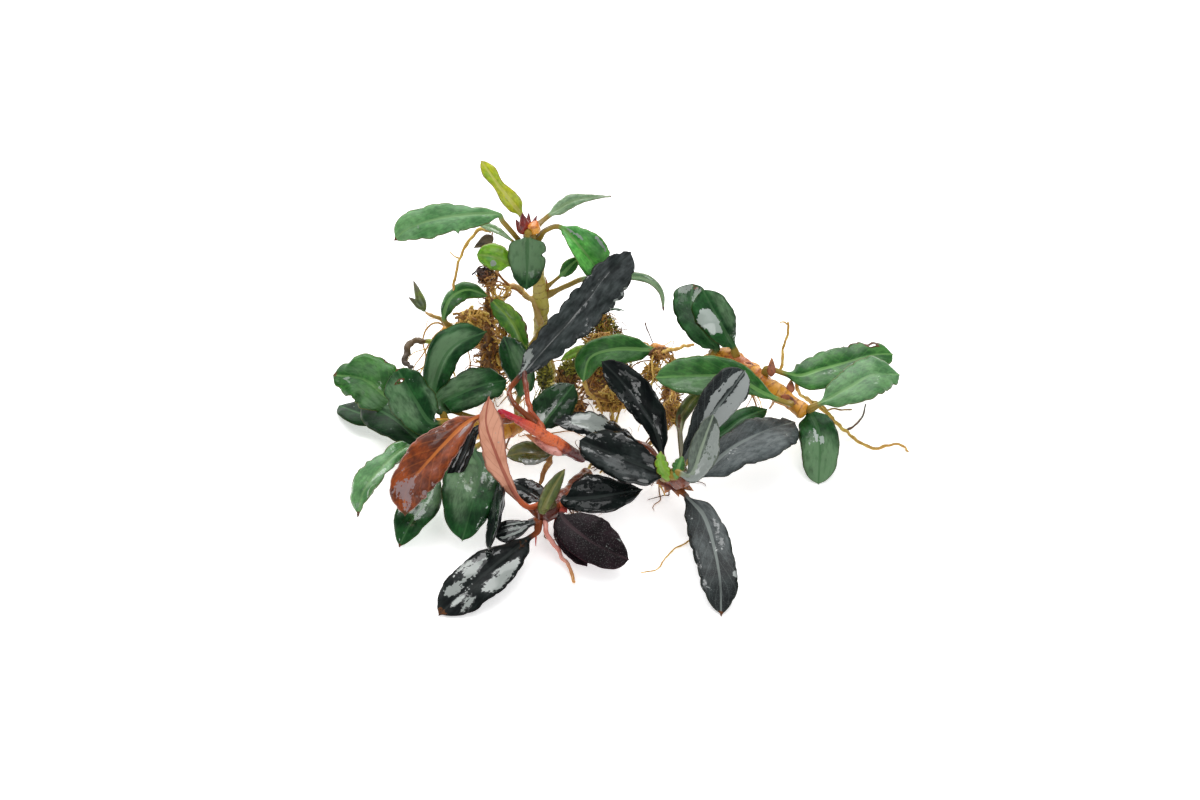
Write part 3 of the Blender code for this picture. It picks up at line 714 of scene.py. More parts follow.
def ring_faces(rings: int, around: int) -> Faces:
    """The faces between rings of corners that close round.

    Args:
        rings: how many rings there are.
        around: how many corners each has.

    Returns:
        The corners of each face.
    """
    first = np.arange(rings - 1)[:, None] * around
    here = np.arange(around)[None, :]
    after = (here + 1) % around
    quads = np.stack([first + here, first + after, first + around + after, first + around + here], -1)
    return quads.reshape(-1, 4).tolist()


def flat_ends(rings: int, around: int, first: int = 0) -> Faces:
    """The two flat faces that close a tube, whose first corner has that number."""
    last = first + (rings - 1) * around
    return [list(range(first, first + around))[::-1], list(range(last, last + around))]


def pointed_ends(rings: int, around: int) -> Faces:
    """The faces that close a tube on two points, which come after its rings.

    Args:
        rings: how many rings there are.
        around: how many corners each has.

    Returns:
        The corners of each face.
    """
    base, foot = (rings - 1) * around, rings * around
    pairs = [(i, (i + 1) % around) for i in range(around)]
    return [[j, i, foot] for i, j in pairs] + [[base + i, base + j, foot + 1] for i, j in pairs]


@dataclass(frozen=True)
class Mark:
    """An oval place on a blade: share of its length, share across, and its half-sizes."""

    along: float
    across: float
    long: float
    wide: float
    strength: float = 1.0

    def at(self, along: Array, across: Array) -> Array:
        """How much of the mark is there, from 0 to its strength."""
        far = ((along - self.along) / self.long) ** 2 + ((across - self.across) / self.wide) ** 2
        return self.strength * smooth(far, 1.6, 0.3)

    def browned(self) -> "Mark":
        """The wilted rim round a hole."""
        return Mark(self.along, self.across, self.long * 1.5, self.wide * 1.5)


Marks = tuple[Mark, ...]


class Side(Enum):
    """A side of the midrib, seen with the tip upwards on the upper face."""

    LEFT = 1
    RIGHT = -1


@dataclass(frozen=True)
class Bite:
    """A notch in a leaf's margin, or a lobe where depth is below zero."""

    side: Side
    along: float
    depth: float
    length: float


@dataclass
class Shoot:
    """A rhizome or stem: a knobbly round stem along a path, with old leaf scars.

    steps and knobs are those of its solid, whose swellings it keeps.
    """

    node: str
    points: list[Place]
    radii: tuple[float, ...]
    finish: StemFinish
    steps: int = 9
    knobs: float = 0.12
    scar_gap: float = 2.3
    seed: int = 1

    SIDES = 30
    RING_GAP = 0.22
    END = 1.1

    def __post_init__(self) -> None:
        """Draws the line of its middle."""
        self.path = Path(places(self.points))

    def radius(self, share: Array | float) -> Array:
        """The radius of the solid at shares of the length."""
        plain = np.interp(share, self.path.knots, self.radii)
        return plain * (1 + self.knobs * np.sin(math.tau * np.asarray(share) * self.steps / 3.0))

    def stalk_start(self, share: float, toward: Array) -> Array:
        """Where a stalk leaves the stem.

        Args:
            share: the share of the stem's length.
            toward: what the stalk heads for.

        Returns:
            The place, in millimetres.
        """
        centre = self.path.at(share)
        along = self.path.heading(share)
        out = toward - centre
        if 0.02 < share < 0.98:
            out = out - along * out.dot(along)
        return centre + unit(out) * (self.radius(share) * 1.02 + STALK_GAP)

    def build(self) -> Piece:
        """Makes the stem, with rounded ends, ringed scars and a lumpy skin.

        Returns:
            The piece.
        """
        count = max(24, int(self.path.length / self.RING_GAP))
        share = np.linspace(0.0, 1.0, count)
        centre = self.path.at(share)[:, None]
        turn = turns(self.SIDES)
        out = spokes(*sideways(self.path.heading(share), (0.23, 0.31, 0.92)), turn)
        run = share * self.path.length
        slanted = run[:, None] / self.scar_gap + 0.22 * np.sin(turn + 0.9 * run[:, None])
        ridge = bell((slanted % 1.0) - 0.5, 0.13)
        lumps = Bumps(self.seed, 2.2).at(centre + 2.0 * out)
        size = self.radius(share)[:, None] * (1 + 0.035 * ridge + 0.08 * lumps)
        size *= rounded(np.minimum(run, self.path.length - run) / self.END, 0.02)
        rings = centre + out * size[..., None]
        points = np.vstack([rings.reshape(-1, 3), self.path.at(0.0), self.path.at(1.0)])
        faces = ring_faces(count, self.SIDES) + pointed_ends(count, self.SIDES)
        shares = np.append(np.repeat(share, self.SIDES), (0.0, 1.0))
        parts = triples(shares, np.append(ridge, (0.0, 0.0)), self.seed)
        return new_piece(f"{self.node}_grown", points, faces, self.finish, {"stem_parts": parts}, self.node)


def leaf_ring(half: int) -> tuple[Array, Array, Array]:
    """The corners round a leaf, over its upper side from left to right and back below.

    Args:
        half: how many faces the upper side has across.

    Returns:
        The share across from 1 to -1, whether it is above, and the angle on the stalk.
    """
    spread = 1 - 2 * np.arange(half + 1) / half
    spread = np.sign(spread) * np.abs(spread) ** 1.15
    corner = np.arange(2 * half)
    return np.concatenate([spread, spread[-2:0:-1]]), corner <= half, math.pi * corner / half


@dataclass
class Leaf:
    """One leaf with its stalk.

    rib holds the places of the midrib from the blade's base to its tip, and via those of
    the stalk before them. face is where the upper side looks. left and right are the
    half-widths on the two sides of the midrib at a fifth, two, three and four fifths of
    the blade, and right is as left where it isn't given. fold lifts both halves by an
    angle, cup curls them up by a share of their width, and wave is the height, count and
    start of the margin's ripples. frayed roughens the outline, and scallops are the count
    and depth of rounded teeth. bare is the share of the stalk that the blade's base
    leaves bare. film and matte say how wet and how dull the blade is. painted_sheen and
    painted_sheens say how much sheen is painted into its colour, and painted_reflections
    where reflections are painted into it. tone says how light it is, and brown_tip how far
    its tip has wilted.
    """

    name: str
    finish: LeafFinish
    carrier: Shoot
    share: float
    rib: list[Place]
    face: Place
    left: Widths
    right: Widths | None = None
    via: list[Place] = field(default_factory=list)
    fold: float = 0.0
    cup: float = 0.0
    twist: float = 0.0
    tip: float = 0.7
    wave: tuple[float, float, float] = (0.0, 2.0, 0.0)
    stalk: float = STALK_RADIUS
    bare: float = 0.8
    frayed: float = 0.02
    scallops: tuple[float, float] = (0.0, 0.0)
    tone: float = 1.0
    matte: float = 0.0
    film: float = 0.0
    painted_sheen: float = 0.0
    films: Marks = ()
    # Marks where a sheen is painted into the colour.
    painted_sheens: Marks = ()
    # Marks where reflections are painted into the colour.
    painted_reflections: Marks = ()
    wilts: Marks = ()
    holes: Marks = ()
    brown_tip: float = 0.0
    bites: tuple[Bite, ...] = ()
    in_frame: bool = True

    STALK_RINGS = 14
    BLADE_RINGS = 60
    HALF = 13
    ACROSS, TOP, TURN = leaf_ring(HALF)
    FAR = np.abs(ACROSS)
    SIDE_STEP = np.where(ACROSS > 0, 0.0, 1.0)

    KNOWN_AT = np.array((0.0, 0.1, 0.2, 0.4, 0.6, 0.8, 1.0))
    SOFTENING = np.linspace(-0.05, 0.05, 7)
    SPIKE = 0.02
    SPIKE_RADIUS = 0.28
    VEINS = 8
    THICKNESS = 0.42
    FRILL = 0.1
    PILLOW = 0.32
    QUILT = 0.035
    NARROWEST = 0.6
    ROOTED = 1.5
    LOWEST = 0.04

    def __post_init__(self) -> None:
        """Names its node, and gives it a seed and its brown tip."""
        self.node = f"leaf_{self.name}"
        self.seed = sum(ord(letter) * (i + 3) for i, letter in enumerate(self.node)) % 997
        if self.brown_tip:
            self.wilts = (*self.wilts, Mark(1.0, 0.0, self.brown_tip, 1.5))

    def half_width(self, t: Array, widths: Widths, side: Side) -> Array:
        """The half-width on one side.

        Args:
            t: shares of the blade's length.
            widths: the four given half-widths.
            side: which side it is.

        Returns:
            A half-width for each share.
        """
        spiked, t = t, t / (1 - self.SPIKE)
        known = np.array((STALK_RADIUS * 0.8, widths[0] * 0.8, *widths, widths[-1] * 0.9))
        near = [np.interp(np.clip(t + shift, 0, 1), self.KNOWN_AT, known) for shift in self.SOFTENING]
        end = np.clip((t - 0.8) / 0.2, 0.0, 1.0)
        wide = np.mean(near, axis=0) * (1 - end ** 1.5) ** self.tip
        phase = self.seed * 0.7 + side.value
        wander = np.sin(9 * t + phase) + 0.7 * np.sin(23 * t + 2.3 * phase) + 0.4 * np.sin(51 * t + phase)
        wide = wide * (1 + self.frayed * wander * smooth(t, 0.05, 0.2))
        count, depth = self.scallops
        wide = wide - depth * (1 - np.abs(np.sin(math.pi * count * t + phase))) ** 2 * smooth(t, 0.1, 0.25)
        for bite in self.bites:
            if bite.side is side:
                wide = wide - bite.depth * bell(t - bite.along, bite.length)
        wide = np.maximum(wide, self.SPIKE_RADIUS * np.clip((1 - spiked) / self.SPIKE, 0, 1))
        return np.maximum(wide, 0.02)

    def route(self) -> tuple[Path, float]:
        """The line from the stem to the tip, and the share of it where the blade starts.

        Returns:
            The line, and the share of it where the blade starts.
        """
        rib = places(self.rib)
        via = places(self.via)
        start = self.carrier.stalk_start(self.share, (via + rib)[0])
        path = Path([start, *via, *rib])
        return path, float(path.knots[1 + len(via)]) * self.bare

    def frames(self, path: Path, at: Array, t: Array) -> tuple[Array, Array]:
        """Which way is sideways and which way is up for each ring.

        Args:
            path: the leaf's line.
            at: where the rings are on it.
            t: their shares of the blade.

        Returns:
            Both directions.
        """
        along = path.heading(at)
        side = unit(np.cross(unit(np.array(self.face, float)), along))
        up = np.cross(along, side)
        angle = np.radians(self.twist * (np.maximum(t, 0.0) - 0.5))[:, None]
        return (np.cos(angle) * side + np.sin(angle) * up, np.cos(angle) * up - np.sin(angle) * side)

    def widen(self, along: Array, side: Array) -> Array:
        """How much wider the leaf is than it looks from the front.

        Args:
            along: the way each ring faces.
            side: the way it lies.

        Returns:
            What to multiply each width by.
        """
        run, reach = (np.stack((way[:, 0], LOOK_DOWN * way[:, 1] + LOOK_LEVEL * way[:, 2]), -1)
                      for way in (along, side))
        run = unit(run)
        seen = np.abs(run[:, 0] * reach[:, 1] - run[:, 1] * reach[:, 0])
        return 1 / np.maximum(seen, self.NARROWEST)

    def ring_shares(self) -> Array:
        """Where the rings are.

        Returns:
            Shares from -1 to 0 on the stalk, and from 0 to 1 on the blade.
        """
        stalk = np.linspace(-1.0, 0.0, self.STALK_RINGS, endpoint=False)
        blade = np.linspace(0.0, 1.0, self.BLADE_RINGS, endpoint=False)
        return np.concatenate([stalk, blade + 0.07 * np.sin(math.pi * blade) * blade])

    def lift(self, blade: Array, wide: Array, phase: Array, flat: Array) -> Array:
        """How far each place stands up from the midrib's level.

        Args:
            blade: the share of the blade's length.
            wide: the half-width there.
            phase: how far along the side veins it is.
            flat: the place on the unfolded blade.

        Returns:
            The heights in millimetres, for fold, curl, ripples and relief together.
        """
        across, far, reach = self.ACROSS, self.FAR, self.FAR * wide
        calm = np.minimum(1.0, 4 * blade) * np.minimum(1.0, 6 * (1 - blade))
        height, waves, first = self.wave
        start = 2.1 * self.SIDE_STEP
        ripple = height * across * far * np.sin(math.tau * (waves * blade + first) + start) * calm
        ripple += self.FRILL * far ** 3 * np.sin(math.tau * 6.5 * blade + self.seed + 2 * start) * calm
        between = far * (1 - far) * 4
        relief = self.QUILT * np.cos(math.tau * phase) * between * calm
        relief += self.PILLOW * between * calm * np.minimum(wide / 5, 1.0)
        relief += 0.12 * Bumps(self.seed, 7.0).at(flat) * calm
        relief -= 0.2 * bell(reach, 0.4) * (1 - blade) * self.TOP
        return reach * np.sin(self.lean(blade)) + self.cup * reach * far + ripple + relief

    def lean(self, blade: Array) -> Array:
        """The angle by which the two halves are folded up, which starts at the base."""
        return math.radians(self.fold) * np.minimum(1.0, 5 * blade)

    def section(self, t: Array, from_stem: Array, reach: Array, lift: Array) -> tuple[Array, Array]:
        """The corners of each ring, which turns from a round stalk into a thin blade.

        Args:
            t: the rings' shares.
            from_stem: how far each ring is from the stem, in millimetres.
            reach: how far each corner is from the midrib.
            lift: how far it stands up.

        Returns:
            How far each corner is sideways and how far up.
        """
        blade = np.clip(t, 0.0, 1.0)[:, None]
        skin = 0.5 * self.THICKNESS * (1 - 0.3 * blade) * np.sqrt(1 - self.FAR ** 4)
        keel = 0.5 * bell(reach, 0.5) * (1 - blade) ** 0.8
        x = np.sign(self.ACROSS) * reach * np.cos(self.lean(blade))
        y = lift + np.where(self.TOP, skin, -skin - keel)
        stalk = (self.stalk * (1 + 0.5 * bell(from_stem, 1.4)))[:, None]
        channel = 1 - 0.22 * bell(self.TURN - math.pi / 2, 0.45)
        share = smooth(t, 0.0, 0.16)[:, None]
        return ((1 - share) * stalk * np.cos(self.TURN) + share * x,
                (1 - share) * stalk * np.sin(self.TURN) * channel + share * y)

    def spots(self, marks: Marks, blade: Array, start: float = 0.0) -> Array:
        """What the marks and the level that they start from come to at each corner."""
        return sum((mark.at(blade, self.ACROSS) for mark in marks), start=start + 0 * blade * self.FAR)

    def build(self) -> Piece:
        """Makes the leaf as rings round its upper and lower side, from stem to tip.

        Returns:
            The piece.
        """
        path, base = self.route()
        t = self.ring_shares()
        at = np.where(t < 0, base * (t + 1), base + (1 - base) * t)
        centre = path.at(at)[:, None]
        side, up = self.frames(path, at, t)
        blade = np.clip(t, 0.0, 1.0)[:, None]
        widen = self.widen(path.heading(at), side)
        both = ((self.left, Side.LEFT), (self.right or self.left, Side.RIGHT))
        left, right = ((self.half_width(blade[:, 0], *half) * widen)[:, None] for half in both)
        wide = np.where(self.ACROSS > 0, left, right)
        reach = self.FAR * wide
        phase = self.VEINS * (blade - 0.3 * self.FAR ** 0.9) + 0.5 * self.SIDE_STEP
        lift = self.lift(blade, wide, phase, centre + side[:, None] * (self.ACROSS * wide)[..., None])
        x, y = self.section(t, (t + 1) * base * path.length, reach, lift)
        rings = centre + side[:, None] * x[..., None] + up[:, None] * y[..., None]
        rings = np.concatenate([rings[:1] - path.heading(0.0) * self.ROOTED, rings])
        rings[..., 2] = np.maximum(rings[..., 2], self.LOWEST)
        points = np.vstack([rings.reshape(-1, 3), path.at(1.0)])
        faces = self.faces(len(rings), np.concatenate([[-1.0], t]))
        parts = self.stacked(blade, self.TOP, 1 - smooth(t, -0.03, 0.05)[:, None])
        parts[-1] = (1.0, 0.5, 0.0)
        rims = 1.4 * self.spots(tuple(hole.browned() for hole in self.holes), blade)
        attributes = {
            "leaf_lines": self.stacked(reach, wide - reach, phase),
            "leaf_parts": parts,
            # Wet film, wilting, and the amount of painted sheen.
            "leaf_marks": self.stacked(self.spots(self.films, blade, self.film),
                                       self.spots(self.wilts, blade) + rims,
                                       self.spots(self.painted_sheens, blade, self.painted_sheen)),
            # Tone, dullness, and painted reflections on the upper side.
            "leaf_looks": self.stacked(self.tone, self.matte, self.spots(self.painted_reflections, blade) * self.TOP),
            "leaf_grain": self.stacked(np.sign(self.ACROSS) * reach * MM,
                                       (0.3 * at * path.length * MM)[:, None], self.seed * 0.013),
        }
        nodes = (self.node,) if self.in_frame else ()
        return new_piece(f"{self.node}_grown", points, faces, self.finish, attributes, *nodes)

    def stacked(self, *values: Array | float) -> Array:
        """Three values for each corner, with those of the root ring and the tip added.

        Args:
            values: the three, as grids over the leaf or single numbers.

        Returns:
            One row for each corner.
        """
        made = triples(*values, np.zeros((self.STALK_RINGS + self.BLADE_RINGS, 2 * self.HALF)))[..., :3]
        made = np.concatenate([made[:1], made]).reshape(-1, 3)
        return np.vstack([made, made[-1:]])

    def faces(self, tall: int, t: Array) -> Faces:
        """The faces of the leaf, with its holes cut through both sides.

        Args:
            tall: how many rings there are.
            t: their shares of the blade.

        Returns:
            The corners of each face.
        """
        half, count = self.HALF, 2 * self.HALF
        middle_t = (t[:-1] + t[1:]) / 2
        middle_u = (self.ACROSS[:half] + self.ACROSS[1:half + 1]) / 2
        gone = np.zeros((tall - 1, half), bool)
        for hole in self.holes:
            gone |= hole.at(middle_t[:, None], middle_u[None, :]) > 0.5
        dropped = np.concatenate([gone, gone[:, ::-1]], axis=1).ravel()
        faces = [face for face, drop in zip(ring_faces(tall, count), dropped) if not drop]
        faces.append(list(range(count))[::-1])
        last = (tall - 1) * count
        faces += [[last + j, last + (j + 1) % count, last + count] for j in range(count)]
        for i, j in zip(*np.nonzero(gone)):
            corners = ((i, j + 1), (i, j), (i + 1, j), (i + 1, j + 1))
            for (di, dj), a in zip(((-1, 0), (0, -1), (1, 0), (0, 1)), range(4)):
                if 0 <= i + di < tall - 1 and 0 <= j + dj < half and not gone[i + di, j + dj]:
                    faces.append(self.wall(corners[a], corners[(a + 1) % 4]))
        return faces

    def wall(self, a: tuple[int, int], b: tuple[int, int]) -> list[int]:
        """The face that joins the two sides of the blade along one edge of a hole.

        Args:
            a: the ring and the corner at one end of the edge.
            b: the same at its other end.

        Returns:
            The corners of the face.
        """
        count = 2 * self.HALF
        up_a, up_b = (i * count + j for i, j in (a, b))
        low_a, low_b = (i * count + (count - j) % count for i, j in (a, b))
        return [up_a, up_b, low_b, low_a]


@dataclass(frozen=True)
class Strands:
    """Thin roots or hairs, each a tapering round strand, joined as one piece.

    radius is their thickness where they start, spread how much that differs, and end the
    share of it that is left at the tip.
    """

    name: str
    finish: RootFinish
    radius: float
    spread: tuple[float, float] = (0.6, 1.4)
    end: float = 0.4
    sides: int = 5

    def build(self, rng: np.random.Generator, lines: Array) -> Piece:
        """Makes the strands.

        Args:
            rng: the source of their sizes and tones.
            lines: the points of each strand.

        Returns:
            The piece.
        """
        many, steps, _ = lines.shape
        sizes = self.radius * rng.uniform(*self.spread, many)
        tones = rng.uniform(0, 1, many)[:, None, None]
        radii = sizes[:, None] * (1 - (1 - self.end) * np.linspace(0, 1, steps) ** 1.4)
        lines = lines.copy()
        lines[..., 2] = np.maximum(lines[..., 2], radii + 0.05)
        along = unit(np.gradient(lines, axis=1))
        lean = unit(np.array((0.31, 0.17, 0.43)) + 0.2 * along[:, :1])
        out = spokes(*sideways(along, lean), turns(self.sides))
        points = lines[:, :, None] + out * radii[..., None, None]
        one = np.array(ring_faces(steps, self.sides))
        starts = np.arange(many) * steps * self.sides
        faces = (one[None] + starts[:, None, None]).reshape(-1, 4).tolist()
        for first in starts.tolist():
            faces += flat_ends(steps, self.sides, first)
        along_share = np.linspace(0, 1, steps)[:, None] + np.zeros(self.sides)
        parts = triples(tones, along_share, tones * 0.37)
        return new_piece(self.name, points, faces, self.finish, {"strand_parts": parts})


class Hold:
    """Something that keeps growing roots in place."""

    def keep(self, points: Array) -> Array:
        """The points, moved to where they may be."""
        return points


@dataclass(frozen=True)
class Growth:
    """How thin roots wander: the length of a step, how much they curl and sink."""

    stride: float = 0.8
    steps: int = 16
    curl: float = 0.55
    sink: float = 0.05

    def lines(self, rng: np.random.Generator, starts: Array, headings: Array,
              hold: Hold | None = None) -> Array:
        """Grows one line from each start.

        Args:
            rng: the source of the wandering.
            starts: where the lines start.
            headings: where they head at first.
            hold: what keeps them in place, if anything does.

        Returns:
            The points of every line.
        """
        here = starts.copy()
        heading = unit(headings)
        drift = rng.normal(size=here.shape)
        rows = [here.copy()]
        for _ in range(self.steps - 1):
            drift = 0.6 * drift + 0.8 * rng.normal(size=here.shape)
            heading = unit(heading + self.curl * drift * 0.5 - np.array((0, 0, self.sink)))
            after = here + heading * self.stride
            if hold is not None:
                after = hold.keep(after)
                heading = unit(unit(after - here) + 0.3 * heading)
            after[:, 2] = np.maximum(after[:, 2], 0.3)
            here = after
            rows.append(here.copy())
        return np.stack(rows, axis=1)


@dataclass
class Knot(Hold):
    """An oval tangle of roots hanging in the clump."""

    centre: Array
    reach: Array

    def keep(self, points: Array) -> Array:
        """Draws points near the oval's skin inward, and those outside back to it.

        Args:
            points: where roots would grow.

        Returns:
            Where they may.
        """
        far = np.linalg.norm((points - self.centre) / self.reach, axis=-1, keepdims=True)
        inward = 1 - 0.16 * smooth(far, 0.35, 1.0)
        return self.centre + (points - self.centre) * inward / np.maximum(far / 1.25, 1.0)

    def scatter(self, rng: np.random.Generator, count: int) -> Array:
        """Points spread through the oval."""
        ball = unit(rng.normal(size=(count, 3))) * rng.uniform(0, 1, (count, 1)) ** 0.5
        return self.centre + ball * self.reach


@dataclass
class Mass(Hold):
    """A felted root mass of the frame: a dark core, matted roots over it, and moss.

    Its middle and reach come from the solid that it stands for.
    """

    node: str
    roots: int
    hairs: int
    moss: int = 0
    core_share: float = 0.5
    lumps: float = 0.07
    seed: int = 5

    FLARE = 0.62
    AROUND = 96
    LEVELS = 34

    def __post_init__(self) -> None:
        """Takes its middle and its reach from the solid."""
        low, high = (np.array(corner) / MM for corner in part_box(self.node))
        self.middle = (low + high) / 2
        self.reach = (high - low)[:2] / 2 / (1 + self.lumps)
        self.height = float(high[2])
        self.rng = np.random.default_rng(self.seed)

    def skin(self, turn: Array, up: Array, lift: Array | float) -> Array:
        """Points over the dome.

        Args:
            turn: their angles.
            up: their shares of the height.
            lift: how far they are above its skin.

        Returns:
            The points, in millimetres.
        """
        inset = np.clip(1 - up, 0.0, 1.0) ** self.FLARE
        dents = np.sin(3 * turn + self.seed) * np.sin(9 * up + 2 * turn + 1.7 * self.seed)
        inset = inset * (0.86 + 0.14 * dents)
        x = self.middle[0] + (self.reach[0] * inset + lift) * np.cos(turn)
        y = self.middle[1] + (self.reach[1] * inset + lift) * np.sin(turn)
        return triples(x, y, self.height * up)

    def keep(self, points: Array) -> Array:
        """Slides points onto the dome's skin.

        Args:
            points: where roots would grow.

        Returns:
            Where they may.
        """
        flat = (points[:, :2] - self.middle[:2]) / self.reach
        turn = np.arctan2(flat[:, 1], flat[:, 0])
        up = np.clip(points[:, 2] / self.height, 0.01, 0.97)
        off = np.linalg.norm(flat, axis=-1) - (1 - up) ** self.FLARE
        off = np.clip(off - 0.1 * smooth(off, -0.35, 0.02), -0.55, 0.02)
        return self.skin(turn, up, off * self.reach.mean())

    def core(self) -> Piece:
        """The dark felt inside, lumpy and folded.

        Returns:
            The piece.
        """
        up = np.linspace(0, 1, self.LEVELS) ** 0.8 * 0.985
        grid = self.skin(turns(self.AROUND)[None, :], up[:, None], 0.0)
        grid[..., :2] = self.middle[:2] + (grid[..., :2] - self.middle[:2]) * self.core_share
        rough = Bumps(self.seed, 3.2, 14).at(grid) + 0.6 * Bumps(self.seed + 1, 1.3, 14).at(grid)
        out = grid - self.middle * np.array((1, 1, 0.4))
        grid = grid + unit(out) * rough[..., None] * 0.7
        grid[..., 2] = np.clip(grid[..., 2], 0.0, self.height - 0.3)
        grid[0, :, 2] = 0.0
        points = np.vstack([grid.reshape(-1, 3), self.middle * (1, 1, 0), grid[-1].mean(axis=0)])
        faces = ring_faces(self.LEVELS, self.AROUND) + pointed_ends(self.LEVELS, self.AROUND)
        tones = np.append(0.3 + 0.35 * rough, (0.3, 0.3))
        return new_piece(f"{self.node}_core", points, faces, FELT, {"strand_parts": triples(tones, 0.3, 0.3)},
                         self.node)

    def matted(self, kind: str, finish: RootFinish, count: int, radius: float, growth: Growth) -> None:
        """Makes roots that run over the mass.

        Args:
            kind: what they are called.
            finish: what they are covered with.
            count: how many there are.
            radius: how thick they are.
            growth: how they wander.
        """
        turn = self.rng.uniform(0, math.tau, count)
        up = self.rng.uniform(0.02, 0.93, count)
        starts = self.skin(turn, up, -self.rng.uniform(0, 0.5, count) * self.reach.mean())
        heading = self.rng.normal(size=(count, 3)) * (1, 1, 0.6) - np.array((0, 0, 0.5))
        lines = growth.lines(self.rng, starts, heading, self)
        Strands(f"{self.node}_{kind}", finish, radius, (0.6, 1.3)).build(self.rng, lines)

    def standing(self, strands: Strands, count: int, heights: tuple[float, float], deep: float,
                 rise: float, stray: float, growth: Growth) -> None:
        """Hairs or moss that stand off the mass.

        Args:
            strands: what they are.
            count: how many there are.
            heights: the shares of the mass's height between which they stand.
            deep: how far under the skin they start.
            rise: how much they point upwards.
            stray: how much they differ in direction.
            growth: how they wander.
        """
        turn = self.rng.uniform(0, math.tau, count)
        up = self.rng.uniform(*heights, count)
        starts = self.skin(turn, up, -deep)
        out = triples(np.cos(turn), np.sin(turn), up + rise)
        lines = growth.lines(self.rng, starts, out + stray * self.rng.normal(size=out.shape))
        strands.build(self.rng, lines)

    def build(self) -> None:
        """Makes the whole mass."""
        self.core()
        self.matted("roots", GOLDEN_ROOTS, self.roots, 0.3, Growth(0.7, 18, 0.9))
        self.matted("hairs", BROWN_ROOTS, self.hairs, 0.13, Growth(0.5, 14, 1.2))
        hairs = Strands(f"{self.node}_loose_hairs", BROWN_ROOTS, 0.1, sides=4)
        self.standing(hairs, self.hairs // 4, (0.05, 0.97), 0.3, 0.0, 0.5, Growth(0.42, 12, 0.8, 0.1))
        if self.moss:
            tufts = Strands(f"{self.node}_moss", MOSS, 0.15, end=0.3, sides=4)
            self.standing(tufts, self.moss, (0.35, 0.95), 0.1, 0.4, 0.6, Growth(0.3, 5, 0.7, 0.0))


@dataclass
class Thread:
    """A single root, stalk or dead strip along a path, with a lumpy skin."""

    name: str
    finish: StemFinish | RootFinish
    points: list[Place]
    radius: float
    end: float = 0.55
    flat: float = 1.0
    knots: float = 0.2
    in_frame: bool = False

    SIDES = 12
    RING_GAP = 0.3
    SEED = 3

    def build(self) -> Piece:
        """Makes it as rings that close to a blunt end at both sides.

        Returns:
            The piece.
        """
        path = Path(places(self.points))
        count = max(14, int(path.length / self.RING_GAP))
        share = np.linspace(0, 1, count)
        centre = path.at(share)
        stray = np.stack([Bumps(self.SEED + i, 3.0).at(centre) for i in range(3)], -1)
        centre = centre + 0.45 * self.radius * stray
        wobble = 1 + self.knots * Bumps(self.SEED, 1.6).at(centre)[:, None]
        size = self.radius * (1 - (1 - self.end) * share)[:, None] * wobble
        size = size * rounded(np.minimum(share, 1 - share) * path.length / self.radius, 0.05)
        out = spokes(*sideways(path.heading(share), (0.2, 0.35, 0.91)), turns(self.SIDES), self.flat)
        rings = centre[:, None] + out * size[..., None]
        rings[..., 2] = np.maximum(rings[..., 2], 0.03)
        faces = ring_faces(count, self.SIDES) + flat_ends(count, self.SIDES)
        shares = np.repeat(share, self.SIDES)
        key = "stem_parts"
        if isinstance(self.finish, RootFinish):
            key, shares = "strand_parts", 0.75 - 0.2 * shares
        nodes = (self.name,) if self.in_frame else ()
        return new_piece(f"{self.name}_grown", rings, faces, self.finish,
                         {key: triples(shares, 0.2, self.SEED * 0.1)}, *nodes)


@dataclass
class Bud:
    """A pointed bud or a scale leaf: an egg-shaped body with overlapping ridges."""

    name: str
    finish: StemFinish
    foot: Place
    tip: Place
    radius: float
    flat: float = 1.0
    fullest: float = 0.4
    hollow: float = 0.0
    seed: int = 2

    SIDES = 18
    RINGS = 22

    def build(self) -> Piece:
        """Makes the bud from its foot to its tip.

        Returns:
            The piece.
        """
        foot, tip = place(*self.foot), place(*self.tip)
        side, over = sideways(unit(tip - foot), (0.1, -0.7, 0.6))
        share = np.linspace(0, 1, self.RINGS)[:, None]
        swell = np.sin(math.pi * share ** (math.log(0.5) / math.log(self.fullest)))
        size = self.radius * (0.12 + 0.88 * np.clip(swell, 0, 1) ** 0.8) * (1 - 0.85 * share ** 6)
        turn = turns(self.SIDES)
        spiral = np.sin(2 * turn + 7 * share)
        wide = size * (1 + 0.12 * spiral)
        bend = self.hollow * self.radius * np.sin(math.pi * share) * np.cos(turn) ** 2
        x, y = wide * np.cos(turn), wide * np.sin(turn) * self.flat + bend
        rings = (foot + (tip - foot) * share)[:, None] + side * x[..., None] + over * y[..., None]
        faces = ring_faces(self.RINGS, self.SIDES) + flat_ends(self.RINGS, self.SIDES)
        parts = triples(share, (0.5 + 0.5 * spiral) ** 3, self.seed * 0.17)
        return new_piece(self.name, rings, faces, self.finish, {"stem_parts": parts})


